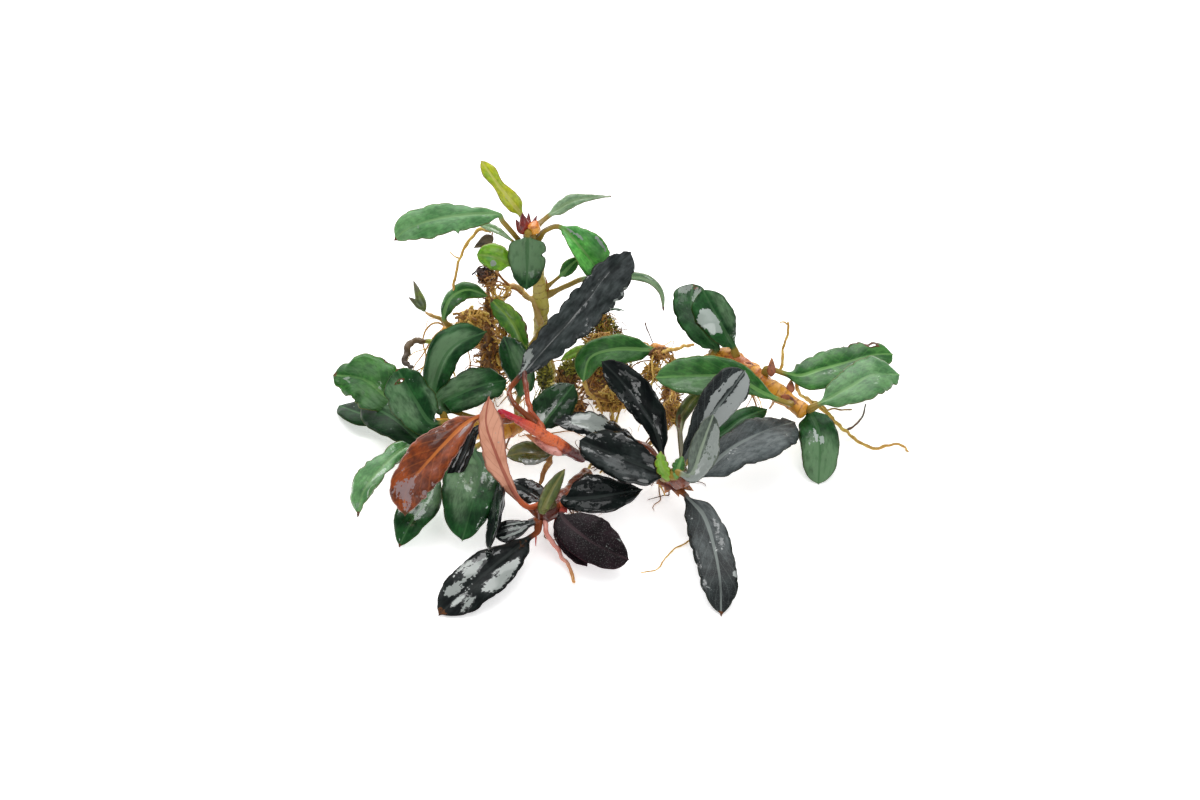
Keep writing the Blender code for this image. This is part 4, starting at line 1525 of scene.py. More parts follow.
@dataclass
class Tangle:
    """Loose roots or moss that fill an oval, held by roots from the feet on what carries it."""

    name: str
    finish: RootFinish
    middle: Place
    reach: Place
    count: int
    radius: float = 0.16
    growth: Growth = Growth(0.55, 14, 1.1, 0.02)
    seed: int = 9
    feet: tuple[Place, ...] = ()

    TIES = 7

    def ties(self, rng: np.random.Generator, knot: Knot) -> Array:
        """The bent roots that run from the feet into the tangle.

        Args:
            rng: the source of chance.
            knot: the oval.

        Returns:
            The points of each root.
        """
        feet = np.repeat(np.array(places(self.feet)), self.TIES, axis=0)
        ends = knot.centre + 0.6 * (knot.scatter(rng, len(feet)) - knot.centre)
        t = np.linspace(0, 1, self.growth.steps)[:, None]
        bow, ripple = rng.normal(size=(2, len(feet), 1, 3)) * (0.9, 0.9, 0.5)
        sway = bow * np.sin(math.pi * t) + 0.4 * ripple * np.sin(3 * math.pi * t)
        return feet[:, None] + (ends - feet)[:, None] * t + sway

    def build(self) -> Piece:
        """Makes the strands, which stay inside the oval.

        Returns:
            The piece.
        """
        rng = np.random.default_rng(self.seed)
        knot = Knot(place(*self.middle), np.array(self.reach))
        starts = knot.scatter(rng, self.count)
        lines = self.growth.lines(rng, starts, rng.normal(size=starts.shape), knot)
        if self.feet:
            lines = np.concatenate([lines, self.ties(rng, knot)])
        return Strands(self.name, self.finish, self.radius).build(rng, lines)


@dataclass
class Rootlets:
    """The roots that leave the underside of a stem and run down to what it lies on."""

    name: str
    finish: RootFinish
    stem: Shoot
    count: int
    span: tuple[float, float]

    RADIUS = 0.2
    GROWTH = Growth(1.0, 22, 0.35, 0.22)

    def build(self) -> Piece:
        """Makes the roots.

        Returns:
            The piece.
        """
        rng = np.random.default_rng(self.count)
        share = rng.uniform(*self.span, self.count)
        side, down = sideways(self.stem.path.heading(share), (0.0, 0.0, 1.0))
        down = down * -np.sign(down[:, 2:3])
        turn = rng.normal(0, 0.8, self.count)[:, None]
        out = unit(np.cos(turn) * down + np.sin(turn) * side)
        starts = self.stem.path.at(share) + out * (self.stem.radius(share) * 0.7)[:, None]
        lines = self.GROWTH.lines(rng, starts, out + 0.3 * rng.normal(size=out.shape))
        return Strands(self.name, self.finish, self.RADIUS, (0.5, 1.3), 0.3).build(rng, lines)


# The stems and what they carry

CROWN = Shoot("stem_crown",
              [(-18.4, 19.8, 2.6), (-18.2, 25, 9), (-19.5, 33, 20), (-19.6, 41, 30), (-20.6, 49, 40),
               (-22.4, 57.2, 50.5)], (1.9, 2.1, 1.9, 1.8, 1.8, 1.6), STEM_SKIN, steps=12, seed=1)
REAR_LEFT = Shoot("rhizome_rear_left", [(-43.9, 33.8, 19.5), (-42.2, 33.2, 19), (-40.4, 32.3, 17.6)],
                  (1.2, 1.6, 1.4), RHIZOME_BARK, steps=6, seed=2)
LEFT = Shoot("rhizome_left",
             [(-46, 10.5, 12.5), (-42, 10.2, 11.5), (-35, 9.5, 9.5), (-27, 9.8, 7), (-17.5, 14.2, 5)],
             (1.6, 2.2, 2.1, 1.9, 1.4), RHIZOME_BARK, steps=12, seed=3)
FRONT = Shoot("rhizome_front", [(-19.5, -11.6, 8), (-17, -9.5, 8), (-12.5, -5.5, 6.5), (-8.2, -0.6, 5)],
              (1.5, 2.1, 2.1, 1.7), DARK_BARK, seed=4)
CENTRE = Shoot("rhizome_centre", [(15.5, -2, 13), (13, -2.2, 11), (9, -1, 8), (3.6, 1.8, 6)],
               (1.6, 2.2, 2.2, 1.6), DARK_BARK, seed=5)
RIGHT = Shoot("rhizome_right",
              [(18.2, 23, 11), (21.8, 26.6, 13.6), (26.5, 26.9, 15.2), (35, 20.5, 13.5), (44.5, 13.5, 10)],
              (1.5, 1.9, 2.3, 2.2, 1.8), RHIZOME_BARK, steps=13, seed=6)
RED = Shoot("shoot_red",
            [(-9, 2.6, 8.4), (-13, 4.8, 13.5), (-16.5, 6.8, 16.5), (-23, 11, 22), (-29.6, 14.4, 27)],
            (1.1, 1.5, 1.7, 1.2, 0.6), RED_SKIN, steps=10, knobs=0.05, scar_gap=3.4, seed=7)
MIDDLE = Shoot("rhizome_middle", [(10.5, 28, 22.5), (9, 29, 23.5), (6.5, 29.5, 24)], (1.2, 1.4, 1),
               RHIZOME_BARK, steps=5, seed=8)


@dataclass
class Rhizomes:
    """The creeping rhizomes and the shoots, with the roots under them."""

    stems: tuple[Shoot, ...] = (CROWN, REAR_LEFT, LEFT, FRONT, CENTRE, RIGHT, RED, MIDDLE)
    rootlets: tuple[Rootlets, ...] = (
        Rootlets("rootlets_crown", GOLDEN_ROOTS, CROWN, 18, (0.02, 0.4)),
        Rootlets("rootlets_rear_left", GOLDEN_ROOTS, REAR_LEFT, 20, (0.1, 0.95)),
        Rootlets("rootlets_left", BROWN_ROOTS, LEFT, 10, (0.4, 0.95)),
        Rootlets("rootlets_front", BROWN_ROOTS, FRONT, 7, (0.3, 0.95)),
        Rootlets("rootlets_centre", BROWN_ROOTS, CENTRE, 6, (0.55, 0.98)),
        Rootlets("rootlets_right", GOLDEN_ROOTS, RIGHT, 12, (0.05, 0.6)),
        Rootlets("rootlets_middle", GOLDEN_ROOTS, MIDDLE, 14, (0.1, 0.9)),
    )

    def build(self) -> None:
        """Makes the stems and the roots."""
        for part in (*self.stems, *self.rootlets):
            part.build()


@dataclass
class Rosette:
    """The leaves that grow together from one or two stems."""

    name: str
    leaves: list[Leaf]

    def build(self) -> None:
        """Makes every leaf."""
        LOG.info("%s: %d leaves", self.name, len(self.leaves))
        for leaf in self.leaves:
            leaf.build()


# The upright rosette at the top left
CROWN_ROSETTE = Rosette("crown", [
    Leaf("crown_young", LIME, CROWN, 0.98, [(-24.5, 61.7, 54), (-28.8, 67.2, 61), (-33.9, 74.4, 66)],
         (0.25, -0.9, 0.35), (1.9, 1.9, 1.2, 1.9), (2.3, 2.3, 1.2, 1.9), tip=0.5, tone=1.08),
    Leaf("crown_left", SATIN_GREEN, CROWN, 0.92,
         [(-30.7, 61.4, 56), (-42.5, 60.5, 57), (-50.9, 58.1, 54), (-54.8, 55, 50.5)], (0, -0.45, 0.9),
         (2.6, 3.7, 4.3, 3.4), (1.6, 3.2, 3.7, 4.2), via=[(-28.4, 59.4, 53.6)], tip=0.6,
         wave=(0.5, 2.5, 0.1), scallops=(7, 0.25), tone=1.04, painted_sheens=(Mark(0.9, 0.3, 0.2, 0.6, 0.4),),
         painted_reflections=(Mark(0.82, -0.25, 0.1, 0.04, 0.7), Mark(0.74, 0.2, 0.015, 0.3, 0.6)), brown_tip=0.035,
         bites=(Bite(Side.LEFT, 0.44, -1, 0.012),)),
    Leaf("crown_right", PALE_GREEN, CROWN, 1,
         [(-16.8, 61.7, 54), (-12.5, 64.3, 56.5), (-8.9, 65.3, 57.5), (-2.4, 65.8, 57.5)], (0.1, -0.6, 0.8),
         (1.6, 2, 1.1, 0.6), (1.6, 1.6, 1, 0.5), twist=30, tip=1, tone=1.25, film=0.45, brown_tip=0.03),
    Leaf("crown_folded", GREEN, CROWN, 0.95, [(-14.7, 58.3, 51), (-10.2, 53.6, 49), (-4.8, 47, 42)],
         (0.25, -0.65, 0.7), (2.6, 4.3, 5.3, 4.7), (1.6, 2.7, 3.8, 4.2), via=[(-18.2, 57.7, 50.8)], fold=25,
         bare=0.95, tone=2.5, painted_sheens=(Mark(0.5, 0.55, 0.45, 0.35, 0.4),),
         painted_reflections=(Mark(0.2, 0.3, 0.25, 0.12, 0.7), Mark(0.62, 0.85, 0.14, 0.14, 0.8))),
    Leaf("crown_hanging", DEEP_GREEN, CROWN, 1, [(-22.7, 55.8, 50.8), (-22.8, 49.9, 44), (-23, 43.2, 37)],
         (0, -0.85, 0.5), (4.3, 4.7, 4.4, 3.2), via=[(-22.6, 56.8, 52.4)], cup=-0.15, wave=(0.2, 1, 0.4),
         tone=0.95, films=(Mark(0.7, 0.55, 0.08, 0.3, 0.9),), painted_sheens=(Mark(0.25, 0, 0.5, 1.7, 0.95),),
         bites=(Bite(Side.LEFT, 0.4, 1, 0.035),)),
    Leaf("crown_lime", FRESH_GREEN, CROWN, 0.76, [(-27.8, 49.9, 42.6), (-31.2, 51.4, 44.6), (-35, 51.8, 45)],
         (-0.2, -0.75, 0.6), (2.6, 3.2, 3.2, 2.6), cup=-0.1, tip=0.5, tone=1.6,
         painted_reflections=(Mark(0.5, 0.5, 0.1, 0.2, 0.7),)),
    Leaf("crown_behind", PALE_GREEN, CROWN, 0.61,
         [(-7.7, 46.3, 37), (4.3, 46.3, 38), (9.1, 43.2, 35), (10.1, 38.2, 30)], (0.2, -0.7, 0.65),
         (1, 1.2, 1.3, 0.8), (0.7, 0.8, 0.9, 0.6), via=[(-13, 44.5, 35)], film=0.4, brown_tip=0.05),
    Leaf("back_stem", DEEP_GREEN, CROWN, 0.4, [(-14, 38, 24), (-8, 39.5, 23), (0, 38.8, 18)], (0, 0.4, 0.9),
         (2.6, 3.6, 3.6, 2.8)),
    Leaf("crown_small", GREEN, CROWN, 0.66, [(-14.2, 47.3, 39), (-12.2, 49.4, 41.2), (-10.1, 51.1, 42.4)],
         (0.1, -0.8, 0.6), (1.2, 1.7, 1.7, 1.2), stalk=0.42, in_frame=False),
    Leaf("crown_thin", PALE_GREEN, CROWN, 0.9, [(-27.6, 56, 50.6), (-30.8, 58, 51.4), (-34.8, 59.3, 50.6)],
         (0, -0.7, 0.7), (0.6, 0.9, 1, 0.8), stalk=0.36, tone=1.2, film=0.5, in_frame=False),
])

# The small shoot behind the left rosette, and the two leaves beside the stem
REAR_LEFT_ROSETTE = Rosette("rear left", [
    Leaf("rear_arching", GREEN, REAR_LEFT, 0.45,
         [(-43, 36.5, 24), (-41.6, 41, 29), (-37.4, 43.4, 33), (-32.2, 41.8, 32)], (-0.3, -0.5, 0.8),
         (1.6, 2.2, 2.4, 1.8), fold=-12, bare=0.9, tone=0.85, films=(Mark(0.3, 0.9, 0.3, 0.2, 0.7),),
         painted_sheens=(Mark(0.35, 0.9, 0.5, 0.5, 0.4),)),
    Leaf("rear_folded", FRESH_GREEN, CROWN, 0.38, [(-23.4, 29.6, 23), (-26.4, 35.5, 28), (-31.7, 41.3, 33)],
         (-0.1, -0.85, 0.5), (1.4, 2.3, 2.9, 2.4), (1.8, 2.9, 2.8, 2.2), cup=0.1, tip=0.5, scallops=(6, 0.3),
         tone=1.1, films=(Mark(0.7, -0.4, 0.2, 0.4, 0.6),),
         wilts=(Mark(0.35, -0.95, 0.3, 0.16, 0.6), Mark(1, 0, 0.06, 1.2, 0.7))),
    Leaf("rear_pale", DEEP_GREEN, LEFT, 0.68, [(-24.2, 20.5, 18.5), (-26.2, 26.4, 23), (-28.6, 32.2, 27)],
         (-0.2, -0.85, 0.5), (2.2, 3, 3.2, 2.6), (3, 4.2, 4.4, 3.4), via=[(-25.5, 15, 13)], tip=0.6,
         bare=0.7, film=0.42, painted_sheens=(Mark(0.45, -0.3, 0.4, 0.5, 0.8),)),
])

# The green rosette at the left
LEFT_ROSETTE = Rosette("left", [
    Leaf("left_tall", DEEP_GREEN, LEFT, 0.1,
         [(-45, 18.8, 16.5), (-43.7, 25, 22), (-40.1, 30, 26.5), (-32.4, 33.4, 28.5)], (-0.3, -0.6, 0.75),
         (3.4, 4.3, 5, 4.3), (2.8, 3.6, 3.4, 2.6), tip=0.9, wave=(0.4, 2, 0.3), bare=0.7, tone=1.1,
         film=0.12, painted_sheens=(Mark(0.45, 0.2, 0.4, 0.5, 1),), wilts=(Mark(0, 0.9, 0.1, 0.3, 0.3),)),
    Leaf("left_inner", DEEP_GREEN, LEFT, 0.35,
         [(-43.2, 15.6, 15.2), (-38.3, 18.6, 18.5), (-32.6, 20.6, 20), (-27.6, 21.6, 19)], (0, -0.5, 0.85),
         (2.6, 4.4, 5, 4.2), (3, 4.4, 4.6, 3.7), tip=0.6, bare=0.6, scallops=(8, 0.25), film=0.22,
         painted_sheens=(Mark(0.4, 0.5, 0.35, 0.5, 0.6), Mark(0.6, -0.6, 0.3, 0.3, 0.4))),
    Leaf("left_outer", GREEN, LEFT, 0.04, [(-57.1, 17.8, 12.5), (-62.4, 21.8, 15.5), (-70, 22.8, 15)],
         (0, -0.5, 0.85), (3.8, 5.8, 6, 4.8), (5.4, 7, 6.6, 5), via=[(-51, 14.4, 10.5)], tip=0.5,
         wave=(0.9, 3, 0.2), bare=0.6, frayed=0.05, scallops=(5, 0.5), tone=0.95, film=0.1,
         films=(Mark(0.9, 0, 0.14, 0.8, 0.5),),
         painted_sheens=(Mark(0.35, 0.5, 0.4, 0.5, 0.5), Mark(0.7, -0.4, 0.2, 0.3, 0.4)),
         wilts=(Mark(0.98, -0.2, 0.05, 0.6, 0.5), Mark(0.55, -1, 0.04, 0.1, 0.6)),
         bites=(Bite(Side.RIGHT, 0.86, 0.7, 0.04), Bite(Side.LEFT, 0.92, 0.5, 0.03))),
    Leaf("left_upper", DEEP_GREEN, LEFT, 0.08, [(-46.2, 11.6, 15.2), (-49.6, 16.6, 18), (-54.2, 24.4, 22)],
         (-0.2, -0.6, 0.78), (4.6, 6.2, 6.6, 5.6), (4, 4.8, 4.8, 4.4), tip=0.5, wave=(0.3, 2, 0.6),
         bare=0.35, scallops=(3, 0.4), tone=1.15, film=0.05,
         painted_sheens=(Mark(0.55, 0.55, 0.4, 0.5, 0.65), Mark(0.35, -0.8, 0.35, 0.25, 0.45)),
         holes=(Mark(0.82, 0.15, 0.02, 0.14),), brown_tip=0.03),
    Leaf("left_lower", DEEP_GREEN, LEFT, 0, [(-48.6, 7.2, 10), (-54.5, 12, 11.5), (-62.6, 16.3, 9)],
         (-0.1, -0.4, 0.9), (3.8, 5, 5.2, 4), (2.4, 3.2, 3.4, 3), tip=0.6, bare=0.4, tone=0.62, matte=0.04,
         painted_sheens=(Mark(0.5, -0.5, 0.35, 0.4, 0.4),)),
    Leaf("left_ground", DEEP_GREEN, LEFT, 0.06, [(-58.6, 12.5, 3), (-64.1, 13.7, 3), (-68.9, 15.4, 0.3)],
         (0, -0.2, 1), (2, 3, 2.8, 2.2), (2.4, 3.2, 3.6, 3.4), via=[(-51.5, 8.5, 5)], tip=0.6, bare=0.6,
         tone=0.6, matte=0.05),
    Leaf("left_wavy", SATIN_GREEN, LEFT, 0.08,
         [(-51.4, 5.6, 9), (-56.9, 1.2, 9), (-61.7, -4.8, 6.5), (-63.4, -11.4, 0.1)], (-0.1, -0.45, 0.9),
         (1.5, 2, 2.2, 1.8), (2.4, 3.2, 4.2, 3.4), via=[(-48, 4.2, 8.4)], tip=1, wave=(0.8, 2.5, 0),
         bare=0.7, scallops=(6, 0.35), tone=1.05, film=0.35, brown_tip=0.06,
         bites=(Bite(Side.RIGHT, 0.58, 0.8, 0.04),)),
    Leaf("left_front", DEEP_GREEN, LEFT, 0.22, [(-46.1, -6, 5.5), (-50.4, -12.5, 5), (-53.3, -18.5, 0.1)],
         (0, -0.4, 0.92), (2.2, 3.6, 3.8, 2.8), (3, 4.5, 5, 3.9), via=[(-43.6, 3, 8)], wave=(0.4, 2, 0.2),
         bare=0.6, film=0.05, films=(Mark(0.5, 0.1, 0.25, 0.5, 0.6),),
         painted_sheens=(Mark(0.3, 0.2, 0.25, 0.8, 0.6),), brown_tip=0.04),
    Leaf("left_broad", DEEP_GREEN, LEFT, 0.46, [(-34, 0.5, 10.5), (-36, -8.4, 9.5), (-38.2, -17, 3.5)],
         (0.1, -0.4, 0.9), (4, 5, 5.2, 4.4), (6.6, 8.6, 8.4, 6.4), via=[(-35.5, 5, 10)], tip=0.5, bare=0.5,
         scallops=(5, 0.25), tone=1.1, films=(Mark(0.5, 0.1, 0.16, 1, 0.35),),
         painted_sheens=(Mark(0.45, -0.4, 0.4, 0.5, 0.7), Mark(0.3, 0.5, 0.2, 0.4, 0.4))),
])

# The leaves of the red shoot in the middle
RED_ROSETTE = Rosette("red shoot", [
    Leaf("copper", COPPER, RED, 0.97,
         [(-34.8, 12.5, 25), (-40.1, 8.6, 23.5), (-50.6, -3.4, 15.5), (-51.8, -11, 9)], (-0.1, -0.5, 0.85),
         (2.6, 4.2, 5.2, 5.2), (3.2, 5.6, 5.6, 4.4), tip=0.6, wave=(0.4, 3, 0), scallops=(9, 0.35),
         film=0.12,
         films=(Mark(0.2, 0.4, 0.2, 0.16, 0.7), Mark(0.28, -0.35, 0.2, 0.12, 0.7),
                Mark(0.85, 0, 0.2, 1, 0.35)),
         painted_sheens=(Mark(0.3, 0.5, 0.3, 0.3, 0.4), Mark(0.75, 0.3, 0.25, 0.5, 0.3)),
         painted_reflections=(Mark(0.88, -0.2, 0.2, 0.9, 0.36), Mark(0.22, 0.45, 0.16, 0.14, 0.7),
                  *(Mark(0.35 + 0.1 * i, 0.9, 0.03, 0.12, 0.75) for i in range(5))),
         wilts=(Mark(1, 0, 0.05, 1.5, 0.8),)),
    Leaf("black_long", BLACK, RED, 0.69,
         [(-25.2, 21.6, 28), (-16.6, 31.2, 35), (-9.4, 39.4, 41), (-3.6, 46.8, 46), (2.4, 52.6, 49.5)],
         (0.25, -0.75, 0.6), (3.4, 4.2, 4, 3.5), (3, 5, 6, 6.4), via=[(-25.8, 15.9, 27), (-27, 18.8, 28.2)],
         tip=0.4, wave=(1, 4.5, 0.2), bare=1, scallops=(10, 0.75), tone=1.5, matte=0.03, film=0.14,
         painted_sheen=0.32,
         films=(Mark(0.12, 0.5, 0.12, 0.35, 0.8), Mark(0.22, 0, 0.3, 0.1, 0.7),
                Mark(0.55, 0.06, 0.3, 0.07, 0.7)),
         painted_reflections=(*(Mark(0.66 + 0.055 * i, -0.93, 0.013, 0.1, 1) for i in range(6)),
                  Mark(0.1, 0.6, 0.1, 0.4, 0.85), Mark(0.24, -0.1, 0.09, 0.05, 0.8),
                  Mark(0.5, 0, 0.35, 0.035, 0.5))),
    Leaf("red_low", OLIVE, RED, 0.26, [(-20, 3.9, 11.5), (-24, 4.1, 12), (-27.8, 3.2, 12)], (0, -0.6, 0.8),
         (2, 2.9, 2.9, 2), bare=0.4, film=0.5, painted_reflections=(Mark(0.4, 0.8, 0.3, 0.25, 0.6),)),
    Leaf("red_streaked", DEEP_GREEN, RED, 0.36, [(-19.2, 10, 17.5), (-15.4, 15.6, 21), (-11.5, 20.6, 24)],
         (-0.1, -0.7, 0.7), (3.8, 5.4, 5.2, 4), (2.4, 3.8, 4.2, 3.4), tip=0.6, bare=0.6, tone=0.55,
         film=0.28, films=(Mark(0.2, 0.3, 0.2, 0.5, 0.4), Mark(0.8, 0.8, 0.1, 0.3, 0.8)),
         painted_reflections=(Mark(0.2, 0.35, 0.16, 0.3, 0.5),)),
    Leaf("red_strip", BLACK, RED, 0.85,
         [(-34.5, 10, 19), (-37.5, 4.4, 15), (-40.6, -1.6, 11), (-43.4, -5.4, 8)], (0.2, -0.7, 0.6),
         (1.2, 1.8, 2, 1.6), film=0.6, in_frame=False),
])

# The rosette at the lower middle
FRONT_ROSETTE = Rosette("front", [
    Leaf("front_underside", PINK_BROWN, FRONT, 0.12,
         [(-25.4, -5.8, 13), (-28.3, 0, 18), (-30.7, 6, 23), (-32.4, 11.5, 27), (-31.7, 17.8, 32.5)],
         (0.2, 0.85, -0.45), (1.2, 1.8, 3.6, 4), (2, 3.9, 2.8, 1.8), via=[(-22.8, -8.6, 10)], tip=0.8,
         wave=(0.3, 3, 0.1), scallops=(9, 0.2)),
    Leaf("front_narrow", OLIVE, FRONT, 0.12, [(-18.8, -9.2, 12), (-16.6, -4.3, 14.5), (-13.6, 0.4, 17)],
         (0.2, -0.8, 0.55), (1.6, 1.9, 1.9, 1.3), bare=0.5, tone=1.1),
    Leaf("front_streaked", BLACK, FRONT, 0, [(-21.2, -12.2, 8.5), (-25.6, -13.8, 9), (-30.6, -15.4, 8)],
         (0, -0.6, 0.8), (1, 2, 2.6, 2.6), (1, 1.9, 2.5, 2.6), tip=0.5, film=0.6,
         painted_reflections=(Mark(0.55, 0.45, 0.4, 0.1, 0.8), Mark(0.6, -0.45, 0.35, 0.08, 0.7),
                  Mark(0.6, 0, 0.35, 0.06, 0.7))),
    Leaf("front_edge_on", BLACK, FRONT, 0.05, [(-29.6, -3.8, 10.8), (-30.2, -11, 11), (-31.6, -19, 8.4)],
         (-0.85, -0.3, 0.42), (1.8, 2.8, 2.8, 2), via=[(-24.5, -7.2, 7.8), (-27.8, -4.4, 9.6)], film=0.45),
    Leaf("front_large", BLACK, FRONT, 0,
         [(-22.6, -16.4, 5.2), (-28.1, -20.9, 5.2), (-36, -27.3, 3.6), (-43.6, -34.3, 0.4)], (0, -0.25, 1),
         (2.9, 5.2, 5.8, 5), (2.8, 5, 5.6, 4.8), via=[(-20.4, -14.8, 6)], tip=0.6, wave=(0.22, 3, 0.3),
         bare=0.6, scallops=(8, 0.25), painted_sheen=0.1,
         films=(Mark(0.64, -0.52, 0.2, 0.5, 0.6), Mark(0.82, 0.5, 0.1, 0.5, 0.7),
                Mark(0.46, 0.6, 0.2, 0.44, 0.58), Mark(0.42, -0.4, 0.12, 0.3, 0.5)),
         painted_reflections=(Mark(0.66, -0.52, 0.2, 0.5, 0.54), Mark(0.82, 0.5, 0.09, 0.45, 0.6),
                  Mark(0.46, 0.62, 0.2, 0.42, 0.5)),
         wilts=(Mark(1, -0.2, 0.07, 1.2, 0.6), Mark(0.1, 0, 0.1, 0.5, 0.35))),
    Leaf("front_purple", PURPLE, FRONT, 0.25,
         [(-14.3, -11.1, 9), (-9.6, -15.4, 8), (-3.6, -19, 5.5), (1.7, -21.3, 3)], (0, -0.35, 0.95),
         (4.6, 6.2, 6, 4.6), (3.4, 4.8, 5, 4), tip=0.5, bare=0.6, tone=0.9),
    Leaf("front_dark", BLACK, FRONT, 0.5, [(-13.6, -6.8, 10.4), (-6.5, -6.4, 11), (5, -4.6, 9)],
         (0, -0.5, 0.87), (4.2, 6, 5, 2.8), (2.8, 4, 3.9, 2.6), tip=0.8, bare=0.7, film=0.42),
    Leaf("front_hidden", BLACK, FRONT, 0.1, [(-19.8, -7, 8.4), (-22.8, -4.8, 8.6), (-26.6, -2.6, 8.2)],
         (0, -0.5, 0.87), (2.4, 3, 2.9, 2.2), bare=0.5, film=0.5, in_frame=False),
    Leaf("front_lilac", PURPLE, FRONT, 0.2, [(-15.6, -14, 5.6), (-11.8, -18.6, 3.8), (-8.3, -22.8, 2)],
         (0, -0.4, 0.9), (1.6, 2.2, 2.3, 1.8), tone=1.8, in_frame=False),
])

# The black rosette right of the middle
CENTRE_ROSETTE = Rosette("centre", [
    Leaf("centre_broad", BLACK, CENTRE, 0.3,
         [(8.6, -0.3, 14), (1.9, 2.2, 16), (-4.6, 4.8, 17), (-10.3, 7.2, 17)], (0, -0.5, 0.87),
         (4.6, 5.4, 4.9, 4), (3.4, 5.2, 6, 5), tip=0.5, bare=0.4, scallops=(6, 0.2), film=0.38,
         films=(Mark(0.35, 0.6, 0.3, 0.35, 0.35), Mark(0.2, -0.5, 0.12, 0.3, 0.5)),
         painted_sheens=(Mark(0.5, 0.5, 0.5, 0.4, 0.3), Mark(0.3, -0.4, 0.3, 0.4, 0.2))),
    Leaf("centre_behind", BLACK, CENTRE, 0.5, [(0.5, 7.6, 13.5), (-8.2, 11, 18), (-16.3, 11.2, 20)],
         (0, -0.12, 1), (2.4, 3.2, 3.2, 2.4), via=[(6.4, 5.4, 12.4)], tip=0.6, bare=0.7, scallops=(7, 0.5),
         film=0.6, painted_reflections=(Mark(0.6, -0.2, 0.22, 0.8, 0.95),)),
    Leaf("centre_back", BLACK, CENTRE, 0.45,
         [(9.3, 4.6, 14), (7.9, 9.6, 18), (4.3, 15.6, 23), (-0.5, 21.6, 27.5), (-5, 26.2, 31)],
         (0.3, -0.7, 0.65), (2, 2.8, 3.4, 3), (2.8, 4.6, 5.2, 4.2), tip=0.5, wave=(0.6, 3, 0.4), bare=0.55,
         scallops=(8, 0.3), film=0.26, films=(Mark(0.5, 0.1, 0.4, 0.1, 0.5),)),
    Leaf("centre_folded", GREY, CENTRE, 0.2,
         [(15.4, 3.8, 16), (18, 7.9, 18.5), (21.8, 13.7, 22), (25.4, 18.4, 24.5), (29.6, 24, 27.5)],
         (0.3, -0.7, 0.65), (2.6, 4.8, 6, 5.6), (1.6, 2.9, 4, 4.4), fold=18, tip=0.4, bare=0.5,
         scallops=(6, 0.25), painted_reflections=(Mark(0.6, -0.55, 0.45, 0.5, 1), Mark(0.66, 0.3, 0.3, 0.22, 0.9))),
    Leaf("centre_upright", SAGE, CENTRE, 0.06, [(16.6, -0.8, 15.6), (18.9, 5.4, 19.4), (21.8, 13.4, 24.4)],
         (0.2, -0.85, 0.5), (1.6, 2.6, 2.8, 2.2), (2.6, 4.4, 4.4, 3), tip=0.5, bare=0.3,
         films=(Mark(0.5, -0.5, 0.4, 0.4, 0.5),), painted_reflections=(Mark(0.5, -0.6, 0.45, 0.45, 0.8),)),
    Leaf("centre_matte", GREY, CENTRE, 0.1,
         [(19.4, -0.6, 12), (26.2, 5.1, 13), (34.3, 9.1, 12), (42, 11.5, 8)], (0, -0.35, 0.93),
         (3.2, 3.8, 4.2, 3.8), (4.6, 6.2, 6.6, 5), tip=0.6, wave=(0.5, 3, 0.4), bare=0.3, scallops=(9, 0.3),
         tone=1.5, painted_sheen=0.26, painted_sheens=(Mark(0.5, -0.4, 0.4, 0.5, 0.3),),
         bites=(Bite(Side.LEFT, 0.9, 0.8, 0.03),)),
    Leaf("centre_under", DEEP_GREEN, CENTRE, 0.35, [(24.7, 9.1, 10.5), (29.5, 12.5, 11), (35.2, 14.6, 9.5)],
         (0, -0.4, 0.9), (2, 2.6, 2.6, 2), via=[(18.5, 5, 9)]),
    Leaf("centre_ground", GREY, CENTRE, 0.2,
         [(15.6, -6.8, 8), (19.4, -10.8, 7), (21.8, -18, 5.5), (23.2, -26.4, 4), (23.4, -34.6, 0.1)],
         (0, -0.2, 1), (3.2, 4.2, 4.4, 4.4), (4.4, 5.6, 5, 4.8), via=[(15.4, -6.2, 8.2)], wave=(0.4, 3, 0),
         bare=0.6, scallops=(8, 0.3),
         films=(Mark(0.3, 0.6, 0.2, 0.35, 0.36), Mark(0.66, -0.85, 0.2, 0.2, 0.45)),
         painted_sheens=(Mark(0.3, 0.5, 0.3, 0.6, 0.4), Mark(0.5, -0.5, 0.22, 0.4, 0.3)),
         painted_reflections=(Mark(0.72, 0.95, 0.04, 0.14, 0.9),), brown_tip=0.04),
    Leaf("centre_bract", FRESH_GREEN, CENTRE, 0.25, [(10.8, -1.6, 13.4), (9.5, 1.4, 16), (9.2, 4.6, 18)],
         (0, -0.8, 0.6), (1.5, 1.9, 1.8, 1.3), (1.3, 1.6, 1.6, 1.2), stalk=0.9, scallops=(4, 0.4), tone=1.25,
         in_frame=False),
    Leaf("centre_bract_dark", GREEN, CENTRE, 0.12, [(12.9, -1.2, 14), (13.6, 1.2, 15.6), (14.4, 3.4, 16.6)],
         (0, -0.7, 0.7), (1.2, 1.7, 1.6, 1.1), (1.2, 1.6, 1.5, 1.1), stalk=0.8, scallops=(4, 0.3), tone=0.8,
         in_frame=False),
    Leaf("centre_olive", OLIVE, CENTRE, 0.15,
         [(13.9, 10.8, 14), (15.4, 14.6, 16.2), (18, 17.8, 17.4), (21.6, 19.4, 18)], (0.2, -0.7, 0.7),
         (1, 1.6, 1.7, 1.2), wilts=(Mark(0.2, 0.3, 0.2, 0.5, 0.6),), in_frame=False),
])

